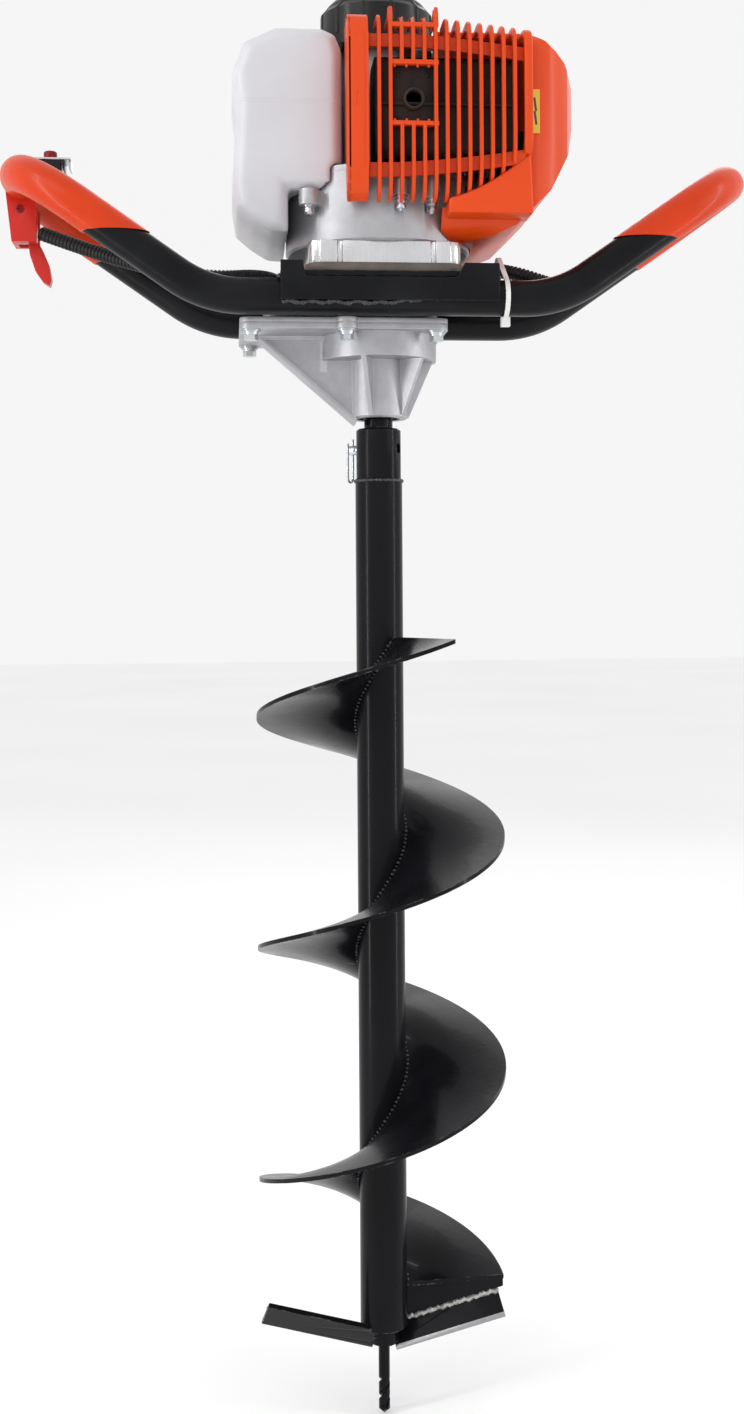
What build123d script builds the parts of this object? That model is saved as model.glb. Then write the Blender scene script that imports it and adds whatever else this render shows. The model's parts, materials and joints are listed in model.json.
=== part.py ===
"""Petrol ground auger with a looped two-handed frame: every piece is a solid of its own, in millimetres.

The origin is the tip of the pilot drill, on the turning axis of the bit. +Z is up along that axis, +X is the
side that the cylinder points to, and -Y is the side of the muffler.
"""

from build123d import *
from math import acos, asin, atan2, cos, degrees, pi, radians, sin, sqrt, tan
import os

os.makedirs("parts", exist_ok=True)

# ---------------------------------------------------------------- clearances
run_gap = 0.03  # radial, between a shaft and what it turns in
seat_gap = 0.05  # between pieces that sit on each other without moving
weld_gap = 0.15  # between pieces that a weld bead joins
free_gap = 0.6  # between pieces that pass each other

# ---------------------------------------------------------------- drilling bit
bit_radius = 100.0
flight_thickness = 3.4
flight_pitch = 186.0
flight_zero = 285.6  # height of the flight at turning angle 0
flight_angles = (-355.0, -192.0, 148.0, 488.0, 660.0)  # ends of the four flight pieces
tube_radius = 19.0
tube_wall = 3.0
tube_bottom = 72.0
tube_top = 754.0
socket_radius = 18.0
socket_top = 796.0
socket_depth = 46.0
spigot_length = 22.0
pin_radius = 4.0
pin_height = 780.0
pin_angle = -32.0
pin_reach = 27.0
pilot_radius = 4.5
pilot_length = 94.0
pilot_twist_length = 30.0
pilot_tip_length = 4.0
flute_radius = 2.6
flute_offset = 4.9
holder_radius = 11.0
holder_bottom = 58.0
holder_spigot = 28.0
blade_length = 92.0
blade_width = 30.0
blade_thickness = 4.0
blade_tilt = 50.0
blade_rise = 14.5
blade_inner = 7.0
blade_outer_height = 86.0
blade_offset = 5.0
blade_bevel = 3.0
foot_front = 8.5  # front face of the plate between the flight and the blade
clip_wire = 1.0

# ---------------------------------------------------------------- output shaft and gears
shaft_radius = 10.0
shaft_top = 868.0
shaft_collar_radius = 11.5
gear_seat_radius = 9.0
centre_distance = 45.0
output_module = 1.5
output_teeth = 50
input_module = 1.25
input_teeth = 62
pinion_teeth = 10
pressure_angle = radians(20)
profile_shift = 0.3
addendum = 0.8
dedendum = 1.0
backlash = 0.2
gear_face = 13.0
output_gear_bottom = 853.0
input_gear_bottom = 876.0
input_gear_face = 11.0
countershaft_radius = 4.0
countershaft_hub = 7.0
drum_shaft_radius = 8.5

# bearings: bore radius, outer radius, width
output_bearing = (shaft_radius, 21.0, 12.0)
counter_bearing = (countershaft_radius, 11.0, 7.0)
drum_bearing = (drum_shaft_radius, 20.0, 12.0)
crank_bearing = (8.0, 20.0, 12.0)
seal_radius = 17.5
seal_width = 5.0

# ---------------------------------------------------------------- gearbox
neck_bottom = 804.0
neck_wall = 3.0
case_bottom = 850.0
case_radius = 47.0
case_wall = 5.5
flange_bottom = 869.0
flange_split = 874.0
flange_top = 877.8
flange_left = -112.0
flange_right = 51.0
flange_half_depth = 54.0
flange_corner = 9.0
cover_top = 906.0
cover_half_depth = 46.0
cover_left = -92.0
cover_right = 44.0
web_half_depth = 14.0
web_left = -99.0
rib_thickness = 4.0
rib_angles = (0.0, -42.0, -110.0, 42.0, 110.0)
bolt_radius = 3.0
bolt_places = [(-103.0, -45.0), (-29.0, -52.0), (42.0, -45.0), (-103.0, 45.0), (-29.0, 52.0), (42.0, 45.0)]
bolt_head_radius = 5.0
bolt_head_height = 4.0

# ---------------------------------------------------------------- handle frame
handle_radius = 14.0
handle_wall = 2.0
handle_spacing = 62.0  # half the distance between the front and rear legs, and the radius of the end loops
handle_height = 892.0
handle_corner = 137.0  # where the sloping legs start
handle_slope = radians(34.8)
handle_bend_radius = 90.0
loop_start = 234.0
grip_thickness = 1.0
grip_bottom = 940.0
tube_joint_x = 3.0
plate_left = -81.0
plate_right = 87.0
plate_thickness = 4.0
side_plate_bottom = 887.0
side_plate_top = 905.0
ear_top = 917.0
ear_width_left = 17.0
ear_width_right = 27.0

# ---------------------------------------------------------------- engine mounting stack
drum_radius = 39.0
drum_wall = 3.0
drum_bottom = 912.0
drum_height = 20.0
bore_clearance = 4.0
damper_thickness = 7.0
damper_half_width = 62.0
damper_half_depth = 73.0
adapter_height = 17.0
adapter_half_width = 59.0
adapter_half_depth = 70.0
adapter_bolt_x = 49.0
adapter_bolt_y = 60.0

# ---------------------------------------------------------------- engine
fan_radius = 74.0
fan_wall = 4.0
fan_height = 54.0
flywheel_radius = 66.0
flywheel_bottom = 941.0
flywheel_thickness = 6.0
fan_blade_height = 24.0
fan_blade_count = 16
shoe_radius = 34.6
shoe_inner_radius = 15.0
shoe_height = 12.0
shoe_bottom = 917.0
shoe_arm_width = 14.0
case_flange = 5.0
crankcase_radius = 40.0
crankcase_height = 71.0
crank_height = 1030.0  # of the cylinder axis
web_radius = 27.0
web_thickness = 10.0
rod_gap = 14.0  # between the two crank webs
stroke = 34.0
rod_length = 60.0
bore_radius = 22.0
piston_height = 26.0
piston_crown = 12.0
cylinder_start = 42.0
cylinder_end = 105.0
cylinder_wall = 5.0
fin_half_width = 36.0
fin_thickness = 1.8
fin_spacing = 6.0
neck_top = 1098.0
starter_neck_radius = 30.0
starter_radius = 45.0
starter_wall = 2.5
starter_bottom = 1102.5
starter_shoulder = 1131.0
starter_top = 1138.0
starter_plateau = 36.0
pulley_radius = 28.0
rope_radius = 2.0
rope_height = 1112.0
starter_handle_y = 52.0
boss_radius = 6.5
front_boss_places = [(11.0, -78.0), (36.0, -70.0)]  # screw bosses under the muffler
tank_boss_place = (-58.0, -58.0)

# ---------------------------------------------------------------- fuel tank
tank_left = -117.0
tank_right = -32.0
tank_half_depth = 65.0
tank_top = 1100.0
tank_bottom = 975.0
tank_lobe_right = -74.0
tank_lobe_bottom = 942.0
tank_edge = 11.0
cap_radius = 19.0
cap_x = -76.0
cap_y = 22.0

# ---------------------------------------------------------------- muffler, guard and cylinder cover
guard_front = -95.0
guard_left = -30.0
guard_right = 111.0
guard_top = 1103.0
guard_bottom = 961.0
guard_wall = 2.7
guard_depth = 36.0
guard_roll = 11.0
slat_spacing = 8.63
slat_first = -6.3
slat_count = 13
guard_band_bottom = 984.0
guard_band_top = 1076.0
guard_band_width = 12.0
window_left = 5.0
window_right = 37.0
window_bottom = 1019.0
window_top = 1062.0
spike_top = 1112.0
muffler_front = -87.0
muffler_back = -43.0
muffler_left = -9.0
muffler_right = 99.0
muffler_bottom = 995.0
muffler_top = 1072.0
muffler_wall = 2.0
outlet_x = 20.0
outlet_z = 1037.0
outlet_radius = 6.0
outlet_length = 8.0
cowl_left = 44.0
cowl_wall = 2.5
cowl_front = -74.0
cowl_back = 78.0
cowl_plan_corner = [(58.0, 0.0), (36.0, 3.0), (20.0, 10.0), (9.0, 21.0), (2.5, 36.0), (0.0, 52.0)]
cowl_top_corner = [(0.0, 34.0), (2.0, 22.0), (7.0, 11.0), (15.0, 4.0), (26.0, 0.0)]
cowl_foot_corner = [(0.0, 40.0), (3.0, 26.0), (9.0, 13.0), (18.0, 4.5), (30.0, 0.0)]
cowl_outline = [
    (104.0, 1103.0),
    (119.0, 1096.0),
    (143.0, 1078.0),
    (152.0, 1062.0),
    (154.5, 1042.0),
    (147.0, 1008.0),
    (130.0, 976.0),
    (103.0, 949.0),
]
cowl_low = (84.0, 941.0)
cowl_foot = 934.5
filter_back = 120.0

# ---------------------------------------------------------------- controls
throttle_pivot = (-286.0, 972.0)
throttle_front = 5.0
throttle_back = 35.0
throttle_left = -297.0
throttle_right = -273.0
throttle_bottom = 946.0
trigger_half_width = 6.0
trigger_centre = 24.0
trigger_tip = (-264.0, 913.0)
switch_x = -265.0
switch_y = 40.0
switch_top = 1018.0
button_radius = 5.5
conduit_radius = 5.75
tie_x = 92.0
tie_conduit = (-30.4, 919.4)  # (y, z) of the conduit where the tie holds it

# Route of the throttle conduit: from the throttle housing between the handle legs, over the mounting plate,
# behind the engine, forward to the tie on the front leg, round in a loop, and up to the carburettor.
conduit_route = [
    (-270.2, 11.5, 954.0),
    (-238.0, 5.0, 941.5),
    (-200.0, -12.0, 927.0),
    (-162.0, -26.0, 915.5),
    (-126.0, -30.0, 911.5),
    (-97.0, -14.0, 916.5),
    (-78.0, 17.0, 918.0),
    (-76.5, 57.0, 917.5),
    (-52.0, 86.0, 917.5),
    (-10.0, 93.0, 917.0),
    (34.0, 92.0, 917.5),
    (67.0, 72.0, 917.5),
    (77.0, 36.0, 917.5),
    (72.5, 3.0, 919.5),
    (82.0, -22.0, 922.5),
    (107.0, -40.0, 916.0),
    (134.0, -40.0, 907.0),
    (158.0, -23.5, 905.5),
    (166.0, 4.0, 907.5),
    (156.0, 31.0, 911.0),
    (128.0, 49.0, 915.0),
    (96.0, 67.0, 919.0),
    (69.0, 88.0, 932.0),
    (48.0, 93.0, 957.0),
    (42.0, 82.0, 984.0),
    (41.8, 74.0, 1006.5),
]

UPRIGHT = (Align.CENTER, Align.CENTER, Align.MIN)


# ---------------------------------------------------------------- building blocks
def rod(radius, bottom, top, x=0.0, y=0.0):
    """Upright cylinder between two heights."""
    return Pos(x, y, bottom) * Cylinder(radius, top - bottom, align=UPRIGHT)


def ring(outer, inner, bottom, top, x=0.0, y=0.0):
    """Upright tube between two heights."""
    return rod(outer, bottom, top, x, y) - rod(inner, bottom - 1, top + 1, x, y)


def block(x, y, z):
    """Box between pairs of coordinates."""
    middle = Pos((x[0] + x[1]) / 2, (y[0] + y[1]) / 2, (z[0] + z[1]) / 2)
    return middle * Box(x[1] - x[0], y[1] - y[0], z[1] - z[0])


def rod_x(radius, start, end, y, z):
    """Cylinder along X."""
    return Pos(start, y, z) * Rot(0, 90, 0) * Cylinder(radius, end - start, align=UPRIGHT)


def rod_y(radius, start, end, x, z):
    """Cylinder along Y."""
    return Pos(x, start, z) * Rot(-90, 0, 0) * Cylinder(radius, end - start, align=UPRIGHT)


def slab(corners, corner_radius, bottom, top):
    """Plate with rounded corners, from (left, right) and (front, back)."""
    (left, right), (front, back) = corners
    face = Pos((left + right) / 2, (front + back) / 2) * RectangleRounded(
        right - left, back - front, corner_radius
    )
    return Pos(0, 0, bottom) * extrude(face, top - bottom)


def profile_y(points, front, back):
    """Prism between two Y planes, with its outline given as (x, z) points."""
    face = make_face(Polyline(*points, close=True))
    return Pos(0, back, 0) * extrude(Plane.XZ * face, back - front)


def profile_x(face, left, right):
    """Prism between two X planes, from a face drawn with (y, z) coordinates."""
    return Pos(left, 0, 0) * extrude(Plane.YZ * face, right - left)


def save(name, *shapes):
    """Write one node's solids to its own file."""
    solids = [solid for shape in shapes for solid in shape.solids()]
    export_step(solids[0] if len(solids) == 1 else Compound(solids), f"parts/{name}.step")


def involute(angle):
    return tan(angle) - angle


def spur_gear(module, teeth, shift, face_width):
    """Involute gear on Z with a tooth on +X, its flanks drawn as short flats."""
    pitch = module * teeth / 2
    base = pitch * cos(pressure_angle)
    tip = pitch + (addendum + shift) * module
    root = pitch - (dedendum - shift) * module
    half_pitch = (pi / 2 + 2 * shift * tan(pressure_angle)) / teeth - backlash / 4 / pitch

    def half_angle(radius):
        pressure = acos(min(1.0, base / radius))
        return half_pitch + involute(pressure_angle) - involute(pressure)

    start = max(base, root)
    flank = [start + (tip - start) * step / 3 for step in range(4)]
    side = [(root, half_angle(start))] if root < base else []
    side += [(radius, half_angle(radius)) for radius in flank]
    points = []
    for tooth in range(teeth):
        middle = 2 * pi * tooth / teeth
        points += [(r * cos(middle - a), r * sin(middle - a)) for r, a in side]
        points += [(r * cos(middle + a), r * sin(middle + a)) for r, a in reversed(side)]
    return extrude(make_face(Polyline(*points, close=True)), face_width)


def bearing(size, bottom, x=0.0, y=0.0):
    """Sealed ball bearing, with the groove of its shield on each side."""
    bore, outer, width = size
    body = ring(outer - run_gap, bore + run_gap, bottom, bottom + width, x, y)
    groove_outer = outer - 0.22 * (outer - bore)
    groove_inner = bore + 0.22 * (outer - bore)
    for low in (bottom - 0.5, bottom + width - 0.5):
        body -= ring(groove_outer, groove_inner, low, low + 1.0, x, y)
    return body


# ---------------------------------------------------------------- drilling bit
def flight_piece(start, end):
    """Helical plate between two turning angles."""
    inner = tube_radius + seat_gap
    middle = (bit_radius + inner) / 2
    turn = 2 * degrees(weld_gap / 2 / middle)
    start += turn / 2
    end -= turn / 2
    path = Edge.make_helix(flight_pitch, flight_pitch * (end - start) / 360, middle)
    section = Plane.XZ * Pos(middle, 0) * Rectangle(bit_radius - inner, flight_thickness)
    plate = Solid.sweep(section.face(), path, is_frenet=True)
    return Pos(0, 0, flight_zero + flight_pitch * start / 360) * Rot(0, 0, start) * plate


def blade_seat(shape):
    """A shape drawn round the middle of a flat blade, moved to the +X blade's place."""
    middle = blade_inner + blade_length * cos(radians(blade_rise)) / 2
    height = blade_outer_height - sin(radians(blade_rise)) * blade_length / 2
    return Pos(middle, blade_offset, height) * Rot(0, -blade_rise, 0) * Rot(blade_tilt, 0, 0) * shape


def flight_foot():
    """Plate that closes the gap between the start of the flight and the +X blade under it."""
    y = foot_front + flight_thickness / 2
    top = []
    for share in (0.0, 0.08, 0.2, 0.45, 0.7, 1.0):
        radius = tube_radius + share * (bit_radius - 0.5 - tube_radius)
        turn = degrees(asin(y / radius)) - 360
        top.append((sqrt(radius**2 - y**2), flight_zero + flight_pitch * turn / 360))
    outline = top + [(top[-1][0], holder_bottom), (top[0][0], holder_bottom)]
    plate = profile_y(outline, foot_front, foot_front + flight_thickness)
    deep = 60.0
    under = Pos(0, 0, blade_thickness / 2 + weld_gap - deep / 2) * Box(blade_length + 60, 90, deep)
    plate -= blade_seat(under)
    plate -= rod(tube_radius + weld_gap, 0, tube_top)
    return plate.solids().sort_by(SortBy.VOLUME)[-1]


def bit_tube():
    return ring(tube_radius, tube_radius - tube_wall, tube_bottom, tube_top - weld_gap)


def cross_hole(radius):
    """Cutter for the connecting pin's hole, through both walls."""
    reach = tube_radius * 2
    return Rot(0, 0, pin_angle) * rod_x(radius, -reach, reach, 0, pin_height)


def bit_socket():
    """Turned socket that takes the output shaft, with a spigot inside the tube."""
    body = rod(socket_radius, tube_top, socket_top)
    body = chamfer(body.edges().sort_by(Axis.Z)[-1], 1.5)
    body += rod(tube_radius - tube_wall - seat_gap, tube_top - spigot_length, tube_top)
    body -= rod(shaft_radius + seat_gap, socket_top - socket_depth, socket_top + 1)
    return body - cross_hole(pin_radius + seat_gap)


def connecting_pin():
    """Headed pin through the socket and the shaft; its tail stands out for the clip."""
    start = -pin_reach
    body = rod_x(pin_radius, start, socket_radius - 3, 0, pin_height)
    body = chamfer(body.edges().filter_by(GeomType.CIRCLE), 0.5)
    hole = Pos(start + 3.5, 0, pin_height) * Cylinder(clip_wire + seat_gap, 3 * pin_radius)
    return Rot(0, 0, pin_angle) * (body - hole)


def pin_clip():
    """Bent wire clip through the tail of the connecting pin."""
    x = -pin_reach + 3.5
    bottom = pin_height - 22.0
    top = pin_height + 9.0
    leg = rod(clip_wire, bottom, top, x, 0)
    loop_radius = 4.5
    loop = Pos(x, -loop_radius, bottom) * Rot(0, 90, 0) * Torus(loop_radius, clip_wire)
    back = rod(clip_wire, bottom, top - 4, x, -2 * loop_radius)
    keep = block((x - 9, x + 9), (-3 * loop_radius, loop_radius), (bottom - 10, bottom))
    return Rot(0, 0, pin_angle) * (leg + (loop & keep) + back)


def pilot_holder():
    """Turned plug in the foot of the tube that holds the pilot drill."""
    body = rod(holder_radius, holder_bottom, tube_bottom)
    body += rod(tube_radius - tube_wall - seat_gap, tube_bottom, tube_bottom + holder_spigot)
    return body - rod(pilot_radius + seat_gap, holder_bottom - 1, pilot_length + seat_gap)


def pilot_drill():
    """Twist drill: two flutes over its lower part, and a cone tip."""
    section = Circle(pilot_radius)
    for side in (-1, 1):
        section -= Pos(side * flute_offset, 0) * Circle(flute_radius)
    height = pilot_twist_length
    twist = Solid.extrude_linear_with_rotation(section.face(), (0, 0, 0), (0, 0, height), 400.0)
    shank = rod(pilot_radius, pilot_twist_length, pilot_length)
    tip = Cone(0.2, pilot_radius + 0.1, pilot_tip_length, align=UPRIGHT)
    tip += rod(pilot_radius + 1, pilot_tip_length, pilot_length + 1)
    return (Part() + twist + shank) & tip


def cutting_blade():
    """Straight blade for the +X side, sloping down to the centre, sharpened below its leading edge."""
    plate = Box(blade_length, blade_width, blade_thickness)
    sharp = plate.edges().filter_by(Axis.X).sort_by(Axis.Z)[:2].sort_by(Axis.Y)[0]
    plate = chamfer(sharp, blade_bevel, blade_bevel - 0.6)
    placed = blade_seat(plate)
    keep_out = rod(tube_radius + weld_gap, tube_bottom - weld_gap, tube_top)
    keep_out += rod(holder_radius + weld_gap, holder_bottom - weld_gap, tube_bottom)
    keep_out += rod(pilot_radius + weld_gap, 0, pilot_length)
    body = placed - keep_out
    body -= flight_keep_out()
    return body.solids().sort_by(SortBy.VOLUME)[-1]


def flight_keep_out():
    """The wedge of space that the start of the flight takes."""
    start = flight_angles[0]
    piece = flight_piece(start, start + 40)
    return piece


# ---------------------------------------------------------------- output shaft and gears
def output_shaft():
    bottom = socket_top - socket_depth + 1
    body = rod(shaft_radius, bottom, case_bottom + 1)
    body += rod(gear_seat_radius, case_bottom, shaft_top)
    body += rod(shaft_collar_radius, socket_top + 1, neck_bottom - free_gap)
    return body - cross_hole(pin_radius + seat_gap)


def output_gear():
    """Driven gear on the output shaft, with a gap between teeth towards the countershaft."""
    gear = Rot(0, 0, 180 / output_teeth) * spur_gear(output_module, output_teeth, -profile_shift, gear_face)
    gear = Pos(0, 0, output_gear_bottom) * gear
    web = ring(32.0, 15.0, output_gear_bottom + gear_face - 3, output_gear_bottom + gear_face + 1)
    return gear - web - rod(gear_seat_radius + seat_gap, 0, shaft_top + 10)


def countershaft():
    """Countershaft with the pinion that drives the output gear cut in it."""
    low = counter_low()
    high = counter_high()
    body = rod(countershaft_radius, low, high + counter_bearing[2])
    body += rod(countershaft_hub, output_gear_bottom, input_gear_bottom + input_gear_face + 1)
    body -= rod(countershaft_hub + 1, output_gear_bottom, output_gear_bottom + gear_face)
    pinion = spur_gear(output_module, pinion_teeth, profile_shift, gear_face)
    body += Pos(0, 0, output_gear_bottom) * pinion
    return Pos(-centre_distance, 0, 0) * body


def intermediate_gear():
    gear = spur_gear(input_module, input_teeth, -profile_shift, input_gear_face)
    gear = Rot(0, 0, 180 / input_teeth) * gear
    web = ring(33.0, 13.0, input_gear_face - 3, input_gear_face + 1)
    gear = gear - web - rod(countershaft_hub + seat_gap, -1, input_gear_face + 1)
    return Pos(-centre_distance, 0, input_gear_bottom) * gear


def drum_floor():
    return drum_bottom + drum_wall


def clutch_drum():
    """Clutch drum and its shaft, with the input pinion cut in the lower end."""
    body = rod(drum_radius, drum_bottom, drum_bottom + drum_height)
    body -= rod(drum_radius - drum_wall, drum_floor(), drum_bottom + drum_height + 1)
    body += rod(drum_shaft_radius, input_gear_bottom + gear_face - 2, drum_bottom + 1)
    pinion = spur_gear(input_module, pinion_teeth, profile_shift, gear_face)
    return body + Pos(0, 0, input_gear_bottom - 1) * pinion


def counter_low():
    """Bottom of the countershaft's lower bearing."""
    return output_gear_bottom - 4 - counter_bearing[2]


def counter_high():
    """Bottom of the countershaft's upper bearing."""
    return input_gear_bottom + input_gear_face + 4


def drum_bearing_bottom():
    return input_gear_bottom + input_gear_face + 4


def output_bearing_bottoms():
    low = neck_bottom + seal_width + 1
    return low, case_bottom - output_bearing[2] - 1


def shaft_bearings():
    pieces = [bearing(output_bearing, bottom) for bottom in output_bearing_bottoms()]
    pieces += [bearing(counter_bearing, bottom, -centre_distance) for bottom in (counter_low(), counter_high())]
    pieces.append(bearing(drum_bearing, drum_bearing_bottom()))
    half = web_cavity_half()
    for bottom in (crank_height - half - crank_bearing[2], crank_height + half):
        pieces.append(bearing(crank_bearing, bottom))
    return pieces


def oil_seal():
    bottom = neck_bottom + 0.5
    body = ring(seal_radius - run_gap, shaft_radius + run_gap, bottom, bottom + seal_width)
    return body - ring(seal_radius - 2, shaft_radius + 2.5, bottom - 1, bottom + 1.5)


# ---------------------------------------------------------------- gearbox
def flange_plate(bottom, top):
    """Bolted flange shared by the housing and the cover, with a boss at each middle bolt."""
    outline = ((flange_left, flange_right), (-flange_half_depth, flange_half_depth))
    body = slab(outline, flange_corner, bottom, top)
    for x, y in bolt_places:
        body += rod(flange_corner, bottom, top, x, y)
    return body


def bolt_holes(bottom, top):
    return [rod(bolt_radius + 0.3, bottom, top, x, y) for x, y in bolt_places]


def web_triangle(inset=0.0):
    """Outline of the big web on the left, as (x, z) points, or of the panel sunk in it."""
    right = -tube_radius - inset
    slope = (flange_bottom - neck_bottom) / (abs(web_left) - 24.0)
    left = web_left + inset * 2.4
    top = flange_bottom - inset
    return [(left, top), (right, top), (right, top - slope * (right - left))]


def gearbox_ribs():
    """Flared ribs between the neck and the case."""
    bottom = neck_bottom + 1.0
    neck = output_bearing[1] + neck_wall - 1
    outline = [(neck, bottom), (neck + 1.5, bottom)]
    outline += [(case_radius - 1.5, case_bottom + 3), (neck, case_bottom + 3)]
    blade = profile_y(outline, -rib_thickness / 2, rib_thickness / 2)
    return [Rot(0, 0, angle) * blade for angle in rib_angles]


def gearbox_housing():
    """Lower case of the reduction gear: neck, case, flange, ribs and the web that carries the countershaft."""
    neck_radius = output_bearing[1] + neck_wall
    body = rod(neck_radius, neck_bottom, case_bottom + 2)
    body = chamfer(body.edges().sort_by(Axis.Z)[0], 1.5)
    body += rod(case_radius, case_bottom, flange_bottom + 1)
    body += flange_plate(flange_bottom, flange_split - seat_gap)
    for rib in gearbox_ribs():
        body += rib
    web = profile_y(web_triangle(), -web_half_depth, web_half_depth)
    panel = profile_y(web_triangle(3.2), -web_half_depth - 1, -web_half_depth + 3)
    body += web - panel - mirror(panel, Plane.XZ)
    body += rod(neck_radius, neck_bottom + 3, case_bottom + 2)
    for x, y in bolt_places:
        body += rod(flange_corner - 1.5, flange_bottom - 1.5, flange_bottom + 1, x, y)
    body -= rod(case_radius - case_wall, output_gear_bottom - 1, flange_split + 1)
    body -= rod(output_bearing[1], neck_bottom + seal_width + 0.5, flange_split)
    body -= rod(seal_radius, neck_bottom - 1, case_bottom)
    pocket = countershaft_pocket_radius()
    body -= rod(pocket, output_gear_bottom - 1, flange_split + 1, -centre_distance)
    body -= rod(counter_bearing[1], counter_low() - 1, flange_split, -centre_distance)
    for hole in bolt_holes(case_bottom, cover_top):
        body -= hole
    return body


def countershaft_pocket_radius():
    """Room for the countershaft's pinion."""
    return output_module * (pinion_teeth / 2 + addendum + profile_shift) + 1.2


def gearbox_cover():
    """Upper case: flange below the handle legs, body between them, seats for the upper bearings."""
    body = flange_plate(flange_split, flange_top)
    outline = ((cover_left, cover_right), (-cover_half_depth, cover_half_depth))
    body += slab(outline, 14.0, flange_split, cover_top)
    room = input_module * (input_teeth / 2 + addendum - profile_shift) + 1.5
    ceiling = counter_high() - 1
    body -= rod(room, flange_split - 1, ceiling, -centre_distance)
    body -= rod(12.0, flange_split - 1, ceiling)
    body -= rod(counter_bearing[1], ceiling - 1, counter_high() + counter_bearing[2] + 0.5, -centre_distance)
    body -= rod(drum_bearing[1], ceiling - 1, drum_bearing_bottom() + drum_bearing[2] + 0.1)
    body -= rod(drum_shaft_radius + 3, ceiling, cover_top + 1)
    for hole in bolt_holes(flange_bottom, cover_top):
        body -= hole
    return body


def hex_bolt(x, y, shank_bottom, shank_top, radius=bolt_radius, head=bolt_head_radius):
    """Hex bolt pushed up from below, with its spring washer and flat washer under the head."""
    body = rod(radius, shank_bottom, shank_top, x, y)
    body += rod(head + 1.6, shank_bottom - 1.0, shank_bottom, x, y)
    body += rod(head + 0.6, shank_bottom - 2.8, shank_bottom - 1.0, x, y)
    top = shank_bottom - 2.8
    hexagon = RegularPolygon(head * 1.1, 6)
    body += Pos(x, y, top - bolt_head_height) * extrude(hexagon, bolt_head_height)
    return body


def gearbox_bolts():
    """Six flange bolts."""
    pieces = []
    bottom = flange_bottom - 1.5 - seat_gap
    for x, y in bolt_places:
        pieces.append(hex_bolt(x, y, bottom, flange_top - 0.2))
    return pieces


# ---------------------------------------------------------------- handle frame
def leg_point(side, distance):
    """Point on the centre line of the sloping part, at a distance in X from the middle."""
    rise = (distance - handle_corner) * tan(handle_slope)
    return Vector(side * distance, 0, handle_height + rise)


def handle_path(side):
    """Centre line of one bent tube: front leg, end loop, rear leg."""
    back = handle_bend_radius * tan(handle_slope / 2)
    flat_end = handle_corner - back
    rise_start = leg_point(side, handle_corner + back * cos(handle_slope))
    bend_middle = Vector(
        side * (flat_end + handle_bend_radius * sin(handle_slope / 2)),
        0,
        handle_height + handle_bend_radius * (1 - cos(handle_slope / 2)),
    )
    loop = leg_point(side, loop_start)
    reach = Vector(side * cos(handle_slope), 0, sin(handle_slope)) * handle_spacing
    start_x = tube_joint_x + side * weld_gap
    edges = []
    for y in (-handle_spacing, handle_spacing):
        offset = Vector(0, y, 0)
        flat = Vector(side * flat_end, y, handle_height)
        edges.append(Edge.make_line(Vector(start_x, y, handle_height), flat))
        edges.append(Edge.make_three_point_arc(flat, bend_middle + offset, rise_start + offset))
        edges.append(Edge.make_line(rise_start + offset, loop + offset))
    front, back_end = loop + Vector(0, -handle_spacing, 0), loop + Vector(0, handle_spacing, 0)
    edges.append(Edge.make_three_point_arc(front, loop + reach, back_end))
    return Wire(edges), Vector(start_x, -handle_spacing, handle_height)


def swept_tube(side, outer, inner=None):
    """Tube along the handle's centre line."""
    path, start = handle_path(side)
    plane = Plane(origin=start, z_dir=(side, 0, 0))
    body = Solid.sweep((plane * Circle(outer)).face(), path)
    if inner is None:
        return body
    return Part() + body - Solid.sweep((plane * Circle(inner)).face(), path)


def handle_tube(side):
    return swept_tube(side, handle_radius, handle_radius - handle_wall)


def grip(side):
    """Dipped grip: a thin skin on all of the loop above one level."""
    inner = handle_radius + seat_gap
    skin = swept_tube(side, handle_radius + grip_thickness, inner)
    above = block((-400, 400), (-120, 120), (grip_bottom, grip_bottom + 200))
    return skin & above


def mounting_plate():
    """Plate welded on top of the legs; the clutch drum passes through it."""
    bottom = handle_height + handle_radius + seat_gap
    half = handle_spacing + handle_radius - weld_gap
    body = slab(((plate_left, plate_right), (-half, half)), 2.0, bottom, plate_top())
    body -= rod(drum_radius + bore_clearance, bottom - 1, plate_top() + 1)
    for x, y in adapter_bolts_places():
        body -= rod(bolt_radius + 0.3, bottom - 1, plate_top() + 1, x, y)
    return body


def plate_top():
    return handle_height + handle_radius + seat_gap + plate_thickness


def side_plate(side):
    """Edge plate welded to the outside of a leg; its two ears stand up beside the damper plate."""
    inner = handle_spacing + handle_radius + seat_gap
    outline = [
        (plate_left, side_plate_bottom),
        (plate_right, side_plate_bottom),
        (plate_right, ear_top - 1),
        (plate_right - ear_width_right, ear_top - 1),
        (plate_right - ear_width_right - 6, side_plate_top),
        (plate_left + ear_width_left + 2, side_plate_top),
        (plate_left + ear_width_left, ear_top),
        (plate_left, ear_top),
    ]
    if side > 0:
        flat = [(plate_left, side_plate_bottom), (plate_right, side_plate_bottom)]
        outline = flat + [(plate_right, side_plate_top), (plate_left, side_plate_top)]
        return profile_y(outline, inner, inner + plate_thickness)
    return profile_y(outline, -inner - plate_thickness, -inner)


def adapter_bolts_places():
    return [(x, y) for x in (-adapter_bolt_x, adapter_bolt_x) for y in (-adapter_bolt_y, adapter_bolt_y)]


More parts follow.
